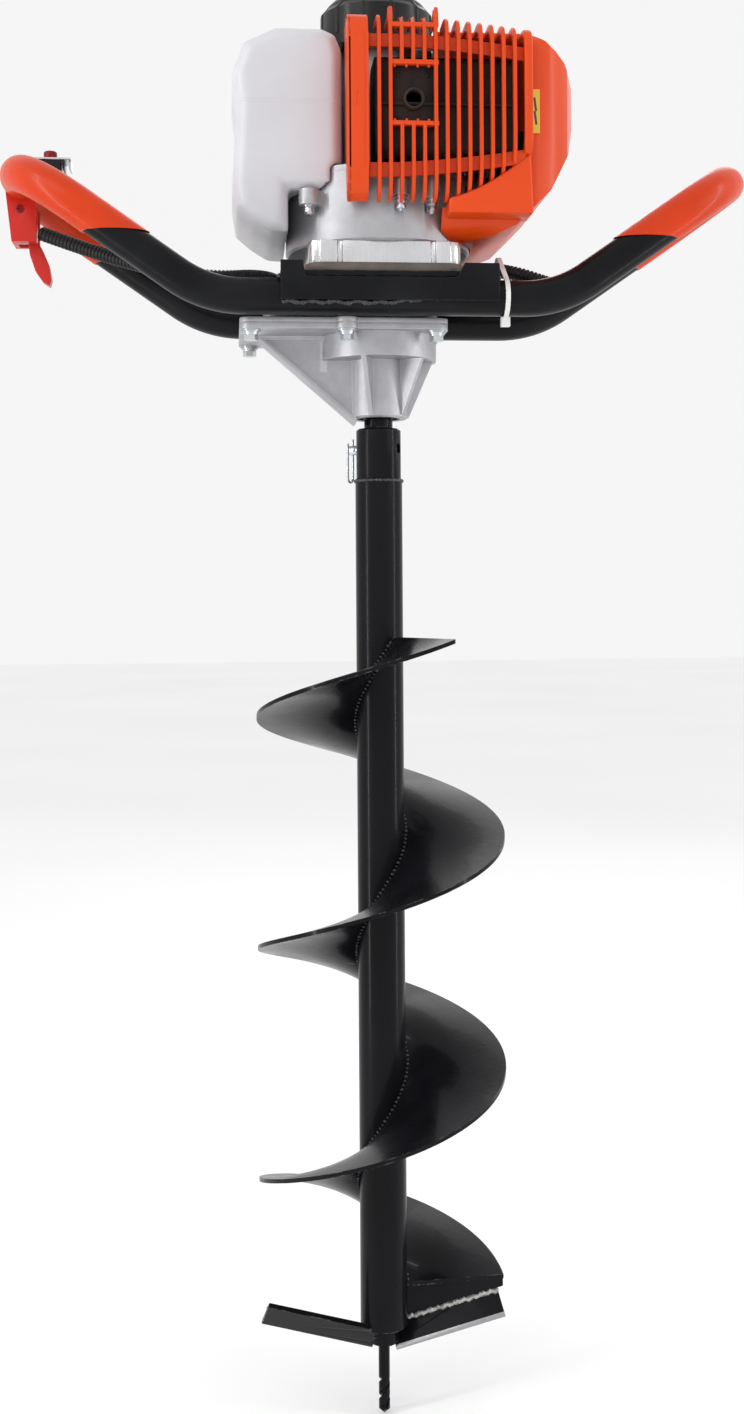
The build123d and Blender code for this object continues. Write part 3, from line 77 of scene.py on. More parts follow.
# ---------------------------------------------------------------- settings
def length(name, description, value):
    return bpy.props.FloatProperty(
        name=name, description=description, default=value, subtype="DISTANCE", unit="LENGTH"
    )


def colour(name, description, value):
    return bpy.props.FloatVectorProperty(
        name=name, description=description, default=value, subtype="COLOR", size=3, min=0.0, max=1.0
    )


class AugerSizes(bpy.types.PropertyGroup):
    """Sizes of what the frame leaves to the modeller."""

    conduit_rib: length("Conduit rib", "Distance between two ribs of the conduit", 0.0032)
    weld_bead: length("Weld bead", "Half the width of a weld bead", 0.0021)
    slat: length("Slat", "Thickness of one slat of the muffler guard", 0.0027)
    slat_spacing: length("Slat spacing", "Distance between two slats", 0.00863)
    slat_depth: length("Slat depth", "How far a slat stands in front of the bands", 0.007)
    tank_voxel: length("Tank grain", "Cell of the tank's blow-moulded skin", 0.0021)
    floor: length("Floor", "Half the width of the studio floor", 14.0)


class AugerColours(bpy.types.PropertyGroup):
    """Colours of the finishes."""

    orange: colour("Orange", "Moulded covers", (0.64, 0.055, 0.004))
    grip: colour("Grip", "Dipped grips", (0.55, 0.038, 0.003))
    black_paint: colour("Black paint", "Handle frame", (0.0045, 0.0047, 0.0056))
    bit_paint: colour("Bit paint", "Tube, flight and blades", (0.0035, 0.0035, 0.0046))
    black_plastic: colour("Black plastic", "Starter, filter and switch", (0.006, 0.006, 0.007))
    tank: colour("Tank", "Milky fuel tank", (0.58, 0.58, 0.61))
    red: colour("Red", "Throttle and stop button", (0.50, 0.020, 0.012))
    cast: colour("Cast metal", "Castings", (0.43, 0.43, 0.45))
    machined: colour("Machined metal", "Adapter and machined faces", (0.72, 0.72, 0.74))
    zinc: colour("Zinc", "Bolts and screws", (0.56, 0.60, 0.68))
    steel: colour("Steel", "Bare steel", (0.50, 0.49, 0.48))
    plate: colour("Plate", "Unpainted damping plate", (0.115, 0.098, 0.088))


def sizes():
    return bpy.context.scene.auger_sizes


def colours():
    return bpy.context.scene.auger_colours


# ---------------------------------------------------------------- shader maths
class Number:
    """A number that changes over a surface. The usual operators add the Math nodes."""

    def __init__(self, tree, socket):
        self.tree, self.socket = tree, socket

    def _math(self, operation, first, second=None):
        node = self.tree.nodes.new("ShaderNodeMath")
        node.operation = operation
        for index, value in enumerate((first, second)):
            if isinstance(value, Number):
                self.tree.links.new(value.socket, node.inputs[index])
            elif value is not None:
                node.inputs[index].default_value = value
        return Number(self.tree, node.outputs[0])

    def __add__(self, other):
        return self._math("ADD", self, other)

    def __radd__(self, other):
        return self._math("ADD", other, self)

    def __sub__(self, other):
        return self._math("SUBTRACT", self, other)

    def __rsub__(self, other):
        return self._math("SUBTRACT", other, self)

    def __mul__(self, other):
        return self._math("MULTIPLY", self, other)

    def __rmul__(self, other):
        return self._math("MULTIPLY", other, self)

    def __gt__(self, other):
        return self._math("GREATER_THAN", self, other)

    def __lt__(self, other):
        return self._math("LESS_THAN", self, other)

    def sine(self):
        return self._math("SINE", self)

    def size(self):
        return self._math("ABSOLUTE", self)


class Finish:
    """One material while it is made: constants go on the shader's own sockets, maps come from nodes."""

    def __init__(self, name, **constants):
        self.material = bpy.data.materials.new(name)
        self.material.use_nodes = True
        self.tree = self.material.node_tree
        self.shader = self.tree.nodes["Principled BSDF"]
        for socket, value in constants.items():
            self.shader.inputs[socket.replace("_", " ")].default_value = value

    def node(self, kind, settings=None, **sockets):
        """Add a node: its settings first, then the values or links of its sockets."""
        node = self.tree.nodes.new(kind)
        for key, value in (settings or {}).items():
            if key == "stops":
                ramp = node.color_ramp
                while len(ramp.elements) < len(value):
                    ramp.elements.new(0.5)
                for element, (position, shade) in zip(ramp.elements, value):
                    element.position, element.color = position, shade
            else:
                setattr(node, key, value)
        for key, value in sockets.items():
            socket = node.inputs[int(key[1:])] if key[0] == "_" else node.inputs[key.replace("_", " ")]
            if isinstance(value, Number):
                value = value.socket
            if isinstance(value, bpy.types.NodeSocket):
                self.tree.links.new(value, socket)
            else:
                socket.default_value = value
        return node

    def number(self, socket):
        return Number(self.tree, socket)

    def place(self, scale=(1.0, 1.0, 1.0)):
        """Object coordinates, scaled."""
        source = self.node("ShaderNodeTexCoord").outputs["Object"]
        return self.node("ShaderNodeMapping", None, Vector=source, Scale=scale).outputs[0]

    def along(self, axis):
        """One Object coordinate as a number, in metres."""
        split = self.node("ShaderNodeSeparateXYZ", None, Vector=self.place())
        return self.number(split.outputs[axis])

    def noise(self, scale, detail=3.0, rough=0.5, vector=None):
        vector = vector or self.place()
        values = {"Vector": vector, "Scale": scale, "Detail": detail, "Roughness": rough}
        node = self.node("ShaderNodeTexNoise", None, **values)
        return self.number(node.outputs["Fac"])

    def cells(self, scale, feature="F1"):
        node = self.node("ShaderNodeTexVoronoi", {"feature": feature}, Vector=self.place(), Scale=scale)
        return self.number(node.outputs["Distance"])

    def band(self, value, low, high, first=0.0, last=1.0):
        """A value mapped from one range to another and held at its ends."""
        node = self.node("ShaderNodeMapRange", None, Value=value, _1=low, _2=high, _3=first, _4=last)
        return self.number(node.outputs[0])

    def waver(self, value, down, up):
        """A small change either way, from the middle of a pattern."""
        return self.band(value, 0.3, 0.7, down, up)

    def mottle(self, value, first, second):
        """Two colours mixed by the middle of a pattern."""
        return self.blend(self.band(value, 0.3, 0.7), first, second)

    def blend(self, factor, first, second):
        """Two colours mixed by a number."""
        return self.node("ShaderNodeMix", {"data_type": "RGBA"}, _0=factor, _6=first, _7=second).outputs[2]

    def worn(self, spread=0.0016):
        """Where an edge stands out, from the difference of a bevelled normal."""
        bevel = self.node("ShaderNodeBevel", {"samples": 6}, Radius=spread).outputs[0]
        plain = self.node("ShaderNodeNewGeometry").outputs["Normal"]
        dot = self.node("ShaderNodeVectorMath", {"operation": "DOT_PRODUCT"}, _0=bevel, _1=plain)
        return self.band(self.number(dot.outputs["Value"]), 0.998, 0.86)

    def colour(self, value):
        self.feed("Base Color", value)
        return self

    def roughness(self, value):
        self.feed("Roughness", value)
        return self

    def feed(self, socket, value):
        target = self.shader.inputs[socket]
        if isinstance(value, Number):
            value = value.socket
        if isinstance(value, bpy.types.NodeSocket):
            self.tree.links.new(value, target)
        else:
            target.default_value = value

    def bump(self, height, strength, distance):
        node = self.node("ShaderNodeBump", None, Height=height, Strength=strength, Distance=distance)
        self.tree.links.new(node.outputs[0], self.shader.inputs["Normal"])
        return self


def shade(rgb, factor=1.0):
    """A colour as four numbers, lighter or darker."""
    return tuple(min(1.0, channel * factor) for channel in rgb) + (1.0,)


# ---------------------------------------------------------------- finishes
def moulded(name, rgb, rough, grain=0.10, coat=0.0, fade=1.16):
    """Moulded plastic: fine spark-eroded grain, faint flow marks, edges polished by handling."""
    make = Finish(name, Specular_IOR_Level=0.22, Coat_Weight=coat, Coat_Roughness=0.18)
    flow = make.noise(16.0, 2.0, vector=make.place(scale=(1.0, 1.0, 0.35)))
    fine = make.noise(1500.0, 2.0)
    edge = make.worn(0.0012)
    base = make.mottle(flow, shade(rgb, 0.94), shade(rgb, 1.05))
    make.colour(make.blend(edge * 0.5, base, shade([c * fade + 0.012 for c in rgb])))
    make.roughness(rough + make.band(fine, 0.2, 0.8, -0.05, 0.06) + make.band(flow, 0.2, 0.8, -0.03, 0.03))
    make.bump(fine + flow * 0.6, grain, 0.00025)
    return make.material


def dipped_grip():
    """Thick dipped vinyl: smooth, slightly sagging skin with tiny pits."""
    rgb = colours().grip
    make = Finish("dipped grip", Specular_IOR_Level=0.18, Coat_Weight=0.08, Coat_Roughness=0.14)
    sag = make.noise(38.0, 1.5, vector=make.place(scale=(0.5, 1.0, 1.0)))
    pits = make.cells(420.0)
    dirt = make.noise(95.0, 5.0, 0.62)
    base = make.blend(make.band(sag, 0.3, 0.72), shade(rgb, 0.93), shade(rgb, 1.06))
    make.colour(make.blend(make.band(dirt, 0.62, 0.8) * 0.25, base, shade(rgb, 0.72)))
    make.roughness(0.34 + make.waver(dirt, -0.06, 0.08))
    make.bump(sag + make.band(pits, 0.0, 0.12) * 0.12, 0.22, 0.0007)
    return make.material


def satin_paint():
    """Powder-coated tube: orange peel, a little dust on top, bright rubbed spots on the edges."""
    rgb = colours().black_paint
    make = Finish("satin black paint", Specular_IOR_Level=0.10, Coat_Weight=0.05, Coat_Roughness=0.10)
    peel = make.noise(620.0, 1.5)
    cloud = make.noise(22.0, 3.0)
    scratches = make.noise(60.0, 6.0, 0.7, vector=make.place(scale=(0.25, 3.0, 3.0)))
    rub = make.worn(0.001) * make.band(make.noise(130.0, 4.0), 0.45, 0.62)
    base = make.blend(make.band(cloud, 0.35, 0.7), shade(rgb), shade([c * 1.9 for c in rgb]))
    make.colour(make.blend(rub * 0.55, base, (0.20, 0.20, 0.21, 1.0)))
    make.roughness(0.30 + make.waver(cloud, -0.04, 0.06) + make.band(scratches, 0.60, 0.66, 0.0, 0.12))
    make.bump(peel + cloud * 1.5, 0.16, 0.00035)
    return make.material


def gloss_paint():
    """Gloss black enamel on the bit: brush-free, with runs round the welds and rubbed edges."""
    rgb = colours().bit_paint
    make = Finish("gloss black enamel", Specular_IOR_Level=0.08, Coat_Weight=0.07, Coat_Roughness=0.06)
    peel = make.noise(240.0, 1.0)
    runs = make.noise(26.0, 2.0, vector=make.place(scale=(1.0, 1.0, 0.28)))
    chips = make.worn(0.0012) * make.band(make.noise(90.0, 5.0, 0.65), 0.50, 0.60)
    base = make.blend(make.band(runs, 0.3, 0.75), shade(rgb), shade([c * 2.0 for c in rgb]))
    make.colour(make.blend(chips * 0.8, base, (0.17, 0.165, 0.16, 1.0)))
    make.roughness(0.24 + make.waver(runs, -0.04, 0.08) + chips * 0.25)
    make.bump(peel + runs * 3.0, 0.14, 0.0006)
    return make.material


def cast_metal():
    """Sand-smooth pressure casting: fine blasted grain, darker in patches, bright on edges."""
    rgb = colours().cast
    make = Finish("cast aluminium", Metallic=0.72, Specular_IOR_Level=0.5)
    grain = make.noise(900.0, 3.0, 0.6)
    patch = make.noise(34.0, 4.0, 0.6)
    skin = make.cells(260.0, "SMOOTH_F1")
    edge = make.worn(0.0014)
    base = make.blend(make.band(patch, 0.3, 0.72), shade(rgb, 0.82), shade(rgb, 1.10))
    make.colour(make.blend(edge * 0.6, base, shade([c * 1.35 for c in rgb])))
    make.roughness(0.44 + make.waver(grain, -0.07, 0.08) - edge * 0.12)
    make.bump(grain + skin * 0.8 + patch * 0.5, 0.30, 0.0004)
    return make.material


def machined_metal(name, rgb, rough, lines=2600.0, axis="Z"):
    """Milled or turned metal: fine tool lines along one direction."""
    make = Finish(name, Metallic=1.0)
    stretch = {"Z": (lines * 0.02, lines * 0.02, 1.0), "X": (1.0, lines * 0.02, lines * 0.02)}[axis]
    tool = make.noise(28.0, 3.0, 0.7, vector=make.place(scale=stretch))
    patch = make.noise(40.0, 3.0)
    base = make.mottle(patch, shade(rgb, 0.88), shade(rgb, 1.06))
    make.colour(make.blend(make.band(tool, 0.35, 0.65) * 0.35, base, shade(rgb, 0.66)))
    make.roughness(rough + make.waver(tool, -0.06, 0.10))
    make.bump(tool, 0.12, 0.0002)
    return make.material


def zinc_plate():
    """Bright zinc with its bluish passivation, a little uneven."""
    rgb = colours().zinc
    make = Finish("blue zinc", Metallic=1.0)
    bloom = make.noise(180.0, 3.0)
    tint = make.noise(60.0, 2.0)
    warm = shade((rgb[0] * 1.12, rgb[1] * 1.08, rgb[2] * 0.92))
    base = make.blend(make.band(tint, 0.35, 0.65), shade(rgb), warm)
    make.colour(make.blend(make.band(bloom, 0.6, 0.75) * 0.4, base, shade(rgb, 0.6)))
    make.roughness(0.27 + make.waver(bloom, -0.06, 0.10))
    make.bump(bloom, 0.10, 0.00015)
    return make.material


def bare_steel(name="bare steel", rgb=None, rough=0.34):
    """Drawn or hardened steel with a thin oxide."""
    rgb = rgb or colours().steel
    make = Finish(name, Metallic=1.0)
    oxide = make.noise(70.0, 5.0, 0.6)
    drawn = make.noise(50.0, 3.0, 0.6, vector=make.place(scale=(14.0, 14.0, 1.0)))
    dull = shade((rgb[0] * 0.62, rgb[1] * 0.56, rgb[2] * 0.50))
    make.colour(make.blend(make.band(oxide, 0.35, 0.75), shade(rgb), dull))
    make.roughness(rough + make.waver(oxide, -0.05, 0.12))
    make.bump(drawn, 0.10, 0.0002)
    return make.material


def mill_plate():
    """Hot-rolled plate: brown-grey scale with rust bloom near its edges."""
    rgb = colours().plate
    make = Finish("mill scale plate", Metallic=0.45)
    scale = make.noise(55.0, 6.0, 0.62)
    rust = make.noise(24.0, 5.0, 0.7)
    base = make.mottle(scale, shade(rgb, 0.7), shade(rgb, 1.35))
    make.colour(make.blend(make.band(rust, 0.52, 0.72) * 0.45, base, (0.16, 0.085, 0.05, 1.0)))
    make.roughness(0.50 + make.waver(scale, -0.08, 0.14))
    make.bump(scale, 0.25, 0.0004)
    return make.material


def milky_tank():
    """Blow-moulded tank: translucent, faintly cloudy, a touch glossy, with painted shade that darkens it
    towards its bottom.
    """
    rgb = colours().tank
    make = Finish("milky tank", Specular_IOR_Level=0.45, Subsurface_Weight=0.35,
                  Subsurface_Scale=0.004, Coat_Weight=0.06)
    make.shader.inputs["Subsurface Radius"].default_value = (1.0, 1.0, 1.0)
    cloud = make.noise(14.0, 3.0)
    skin = make.noise(120.0, 2.0)
    # painted shade: the tank's colour darkens from 1.0 m down to 0.945 m, towards its bottom
    low = make.band(make.along("Z"), 0.945, 1.0)
    base = make.blend(make.band(cloud, 0.3, 0.72), shade(rgb, 0.96), shade(rgb, 1.05))
    make.colour(make.blend(low, shade((rgb[0] * 0.80, rgb[1] * 0.79, rgb[2] * 0.79)), base))
    make.roughness(0.36 + make.waver(skin, -0.05, 0.06))
    make.bump(skin + cloud * 2.0, 0.10, 0.0006)
    return make.material


def heat_black():
    """Matt stove enamel, greyed and browned by heat."""
    rgb = (0.014, 0.012, 0.012)
    make = Finish("heat black", Specular_IOR_Level=0.15)
    burnt = make.noise(30.0, 4.0, 0.6)
    grain = make.noise(700.0, 3.0)
    make.colour(make.blend(make.band(burnt, 0.4, 0.75), shade(rgb), (0.042, 0.026, 0.020, 1.0)))
    make.roughness(0.62 + make.waver(grain, -0.08, 0.10))
    make.bump(grain + burnt, 0.25, 0.0003)
    return make.material


def rubber():
    """Matt rubber with mould grain and a faint bloom."""
    rgb = (0.014, 0.014, 0.014)
    make = Finish("black rubber", Specular_IOR_Level=0.2)
    bloom = make.noise(90.0, 4.0)
    grain = make.noise(1100.0, 2.0)
    make.colour(make.blend(make.band(bloom, 0.5, 0.8) * 0.6, shade(rgb), (0.05, 0.05, 0.048, 1.0)))
    make.roughness(0.58 + make.waver(bloom, -0.08, 0.10))
    make.bump(grain + bloom * 0.5, 0.2, 0.0003)
    return make.material


def weld_metal(name, rgb, rough):
    """Weld bead: rippled, under paint or left bare."""
    make = Finish(name, Metallic=0.5 if rgb[0] > 0.1 else 0.0, Specular_IOR_Level=0.6)
    ripple = make.noise(420.0, 4.0, 0.6)
    scale = make.noise(160.0, 4.0, 0.6)
    make.colour(make.blend(make.band(scale, 0.4, 0.7), shade(rgb), shade([c * 0.45 for c in rgb])))
    make.roughness(rough + make.waver(ripple, -0.1, 0.12))
    make.bump(ripple + scale, 0.5, 0.0006)
    return make.material


def braided_rope():
    """Woven starter cord: two sets of strands crossing."""
    make = Finish("braided rope", Specular_IOR_Level=0.3)
    along = make.along("Y") * 2200.0
    round_about = make.along("Z") * 2600.0
    strands = (along + round_about).sine() * (along - round_about).sine()
    weave = make.band(strands, -0.6, 0.6)
    make.colour(make.blend(weave, (0.30, 0.29, 0.27, 1.0), (0.74, 0.73, 0.70, 1.0)))
    make.roughness(0.72 + make.band(make.noise(900.0), 0.3, 0.7, -0.05, 0.08))
    make.bump(weave, 0.6, 0.0005)
    return make.material


def label_film():
    """Yellow warning film with a plain black slanted stroke, stepped at its middle."""
    make = Finish("label film", Specular_IOR_Level=0.5, Coat_Weight=0.3, Coat_Roughness=0.15)
    stroke_x, stroke_z = 0.1165, 1.035
    half_width, half_height = 0.0009, 0.0105
    height = make.along("Z") - stroke_z
    sway = make.along("X") - stroke_x + height * 0.12 - (height > 0.0) * 0.0011 + 0.0005
    stroke = (sway.size() < half_width) * (height.size() < half_height)
    wear = make.noise(240.0, 4.0)
    make.colour(make.blend(stroke * 0.95, (0.78, 0.50, 0.03, 1.0), (0.02, 0.02, 0.02, 1.0)))
    make.roughness(0.35 + make.waver(wear, -0.05, 0.1))
    make.bump(wear, 0.08, 0.0001)
    return make.material


def make_finishes():
    """Every finish, by the name that pieces ask for."""
    pick = colours()
    return {
        "orange": moulded("orange cover plastic", pick.orange, 0.34, 0.08, 0.10),
        "black": moulded("black nylon", pick.black_plastic, 0.33, 0.10, 0.12, 1.6),
        "conduit": moulded("conduit plastic", (0.010, 0.010, 0.011), 0.42, 0.10, 0.0, 1.5),
        "red": moulded("red lever plastic", pick.red, 0.30, 0.06, 0.15),
        "dark red": moulded("dark red plastic", (0.20, 0.006, 0.010), 0.32, 0.06),
        "white": moulded("white nylon", (0.72, 0.72, 0.71), 0.38, 0.06),
        "grip": dipped_grip(),
        "frame": satin_paint(),
        "bit": gloss_paint(),
        "cast": cast_metal(),
        "machined": machined_metal("milled aluminium", pick.machined, 0.24),
        "lathe": machined_metal("turned aluminium", pick.machined, 0.28, 2600.0, "X"),
        "zinc": zinc_plate(),
        "steel": bare_steel(),
        "iron": bare_steel("machined iron", (0.30, 0.29, 0.28), 0.45),
        "ground": machined_metal("ground edge", (0.36, 0.36, 0.37), 0.30, 2200.0, "X"),
        "plate": mill_plate(),
        "tank": milky_tank(),
        "heat": heat_black(),
        "rubber": rubber(),
        "weld": weld_metal("painted weld", (0.016, 0.016, 0.018), 0.30),
        "bright weld": weld_metal("bright weld", (0.46, 0.45, 0.44), 0.34),
        "rope": braided_rope(),
        "label": label_film(),
    }


finishes = {}


# ---------------------------------------------------------------- bench: how a piece is made and handed over
def clear():
    """Leave edit mode and select nothing."""
    if bpy.context.object and bpy.context.object.mode != "OBJECT":
        bpy.ops.object.mode_set(mode="OBJECT")
    bpy.ops.object.select_all(action="DESELECT")


def hold(*objects):
    """Select these objects and make the first one active."""
    clear()
    for item in objects:
        item.select_set(True)
    bpy.context.view_layer.objects.active = objects[0]
    return objects[0]


def edit(piece, kind="FACE"):
    hold(piece)
    bpy.ops.object.mode_set(mode="EDIT")
    bpy.ops.mesh.select_mode(type=kind)
    bpy.ops.mesh.select_all(action="DESELECT")


def leave():
    bpy.ops.object.mode_set(mode="OBJECT")


def everything():
    bpy.ops.mesh.select_all(action="SELECT")


def cut(place, normal, **settings):
    """In edit mode, cut the whole mesh by a plane, in metres."""
    everything()
    bpy.ops.mesh.bisect(plane_co=place, plane_no=normal, **settings)


def close_openings():
    """In edit mode, put a face in each opening."""
    bpy.ops.mesh.select_mode(type="EDGE")
    bpy.ops.mesh.select_all(action="DESELECT")
    bpy.ops.mesh.select_non_manifold()
    bpy.ops.mesh.edge_face_add()


def pick_faces(piece, test):
    """In edit mode, select the faces whose middle and normal pass a test."""
    mesh = bmesh.from_edit_mesh(piece.data)
    for face in mesh.faces:
        face.select_set(bool(test(face.calc_center_median(), face.normal)))
    bmesh.update_edit_mesh(piece.data)


def pick_edges(piece, test):
    """In edit mode, select the edges whose two ends pass a test."""
    mesh = bmesh.from_edit_mesh(piece.data)
    for edge in mesh.edges:
        edge.select_set(bool(test(edge.verts[0].co, edge.verts[1].co)))
    bmesh.update_edit_mesh(piece.data)


def modify(piece, kind, **settings):
    """Add a modifier, set it and apply it."""
    hold(piece)
    modifier = piece.modifiers.new("shape", kind)
    for key, value in settings.items():
        setattr(modifier, key, value)
    bpy.ops.object.modifier_apply(modifier=modifier.name)
    return piece


def round_off(piece, width, segments, angle, **settings):
    """Round the edges sharper than an angle, by a width in millimetres."""
    return modify(piece, "BEVEL", width=width * MM, segments=segments, limit_method="ANGLE",
                  angle_limit=math.radians(angle), **settings)


def skin(piece, voxel, rounds):
    """Remesh a piece into one soft skin and shade it smooth; the cell is in metres."""
    modify(piece, "REMESH", mode="VOXEL", voxel_size=voxel)
    modify(piece, "SMOOTH", factor=0.5, iterations=rounds)
    hold(piece)
    bpy.ops.object.shade_smooth()
    return piece


def settle(piece):
    """Put the place of a piece into its mesh."""
    hold(piece)
    bpy.ops.object.transform_apply(location=True, rotation=True, scale=True)
    return piece


def face_out(piece):
    """Merge doubles and turn every face outwards."""
    edit(piece, "VERT")
    everything()
    bpy.ops.mesh.remove_doubles(threshold=1e-6)
    bpy.ops.mesh.normals_make_consistent(inside=False)
    leave()
    return piece


def smooth(piece, angle=32.0):
    hold(piece)
    bpy.ops.object.shade_smooth_by_angle(angle=math.radians(angle))
    return piece


def join(parts):
    hold(*parts)
    bpy.ops.object.join()
    return bpy.context.view_layer.objects.active


def paint(piece, *names):
    """Give a piece its finishes, first one everywhere."""
    piece.data.materials.clear()
    for name in names:
        piece.data.materials.append(finishes[name])
    for polygon in piece.data.polygons:
        polygon.material_index = 0
    return piece


def hand_over(piece, name, body, finish, *nodes):
    """Name a finished piece, paint it and let it ride on its body, in place of CAD nodes."""
    settle(piece)
    piece.name = name
    piece.data.name = name
    if isinstance(finish, str):
        paint(piece, finish)
    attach(piece, body)
    if nodes:
        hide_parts(*nodes)
    return piece


def bar(low, high, bevel=0.0, segments=2):
    """Rounded block between two corners, in millimetres."""
    clear()
    middle = [(a + b) / 2 * MM for a, b in zip(low, high)]
    size = [(b - a) * MM for a, b in zip(low, high)]
    bpy.ops.mesh.primitive_cube_add(size=1, location=middle, scale=size)
    piece = settle(bpy.context.object)
    if bevel:
        edit(piece, "EDGE")
        everything()
        bpy.ops.mesh.bevel(offset=bevel * MM, segments=segments, affect="EDGES")
        leave()
    return piece


def shape(points, depth, bevel=0.0, segments=2):
    """Flat outline pulled along a direction: points and depth in millimetres, in space."""
    clear()
    bpy.ops.mesh.primitive_circle_add(vertices=len(points), radius=0.01, fill_type="NGON")
    piece = bpy.context.object
    for vertex, point in zip(piece.data.vertices, points):
        vertex.co = Vector(point) * MM
    edit(piece)
    everything()
    bpy.ops.mesh.extrude_region_move(TRANSFORM_OT_translate={"value": Vector(depth) * MM})
    everything()
    bpy.ops.mesh.normals_make_consistent(inside=False)
    if bevel:
        bpy.ops.mesh.select_mode(type="EDGE")
        everything()
        bpy.ops.mesh.bevel(offset=bevel * MM, segments=segments, affect="EDGES")
    leave()
    return piece


def turned(points, steps=64, centre=(0.0, 0.0)):
    """Closed solid of revolution round an upright axis, from (radius, height) pairs in millimetres."""
    clear()
    bpy.ops.mesh.primitive_circle_add(vertices=max(3, len(points)), radius=0.01, fill_type="NOTHING")
    piece = bpy.context.object
    for vertex, (radius, height) in zip(piece.data.vertices, points):
        vertex.co = Vector((centre[0] + radius, centre[1], height)) * MM
    edit(piece, "VERT")
    everything()
    middle = Vector((centre[0], centre[1], 0.0)) * MM
    bpy.ops.mesh.spin(steps=steps, angle=2 * math.pi, center=middle, axis=(0, 0, 1))
    everything()
    bpy.ops.mesh.remove_doubles(threshold=2e-6)
    bpy.ops.mesh.delete_loose(use_verts=True, use_edges=True, use_faces=False)
    everything()
    bpy.ops.mesh.normals_make_consistent(inside=False)
    leave()
    return piece


def lay(piece, place, angle):
    """Turn a piece about X and put it at a place in millimetres."""
    piece.matrix_world = Matrix.Translation(Vector(place) * MM) @ Matrix.Rotation(angle, 4, "X")
    return settle(piece)


def twin(node, name):
    """A cleaned copy of a CAD node to finish further."""
    hold(frame["nodes"][node])
    bpy.ops.object.duplicate()
    piece = bpy.context.object
    bpy.ops.object.parent_clear(type="CLEAR_KEEP_TRANSFORM")
    for key in list(piece.keys()):
        del piece[key]
    piece.name = name
    edit(piece, "VERT")
    everything()
    bpy.ops.mesh.remove_doubles(threshold=2e-6)
    bpy.ops.mesh.dissolve_limited(angle_limit=math.radians(0.6))
    leave()
    return piece


def eased(node, name, body, finish, width, segments=2):
    """A CAD node's copy with its sharp edges rounded off."""
    piece = twin(node, name)
    round_off(piece, width, segments, 28.0, use_clamp_overlap=True, miter_outer="MITER_ARC")
    smooth(piece, 35.0)
    return hand_over(piece, name, body, finish, node)


def copies(piece, places):
    """Copies of one modelled piece at places given as matrices, joined with it."""
    made = []
    for matrix in places:
        hold(piece)
        bpy.ops.object.duplicate()
        copy = bpy.context.object
        copy.matrix_world = matrix @ piece.matrix_world
        made.append(settle(copy))
    bpy.data.objects.remove(piece)
    return join(made)


def weld_bead(points, half_width, flatten=0.75):
    """Overlapping scales of weld along a line of points in millimetres, fused into one skin."""
    clear()
    bpy.ops.mesh.primitive_ico_sphere_add(subdivisions=2, radius=half_width)
    scale_piece = bpy.context.object
    places = []
    for index, (here, after) in enumerate(zip(points, points[1:] + points[-1:])):
        heading = (Vector(after) - Vector(here)) if after != here else Vector((1, 0, 0))
        turn = heading.to_track_quat("X", "Z").to_matrix().to_4x4()
        swell = 1.0 + 0.16 * math.sin(index * 2.3) + 0.08 * math.sin(index * 5.1)
        grow = Matrix.Diagonal((flatten * swell, swell, swell, 1.0))
        places.append(Matrix.Translation(Vector(here) * MM) @ turn @ grow)
    bead = copies(scale_piece, places)
    modify(bead, "REMESH", mode="VOXEL", voxel_size=half_width * 0.30, use_smooth_shade=True)
    modify(bead, "SMOOTH", factor=0.5, iterations=2)
    return face_out(bead)


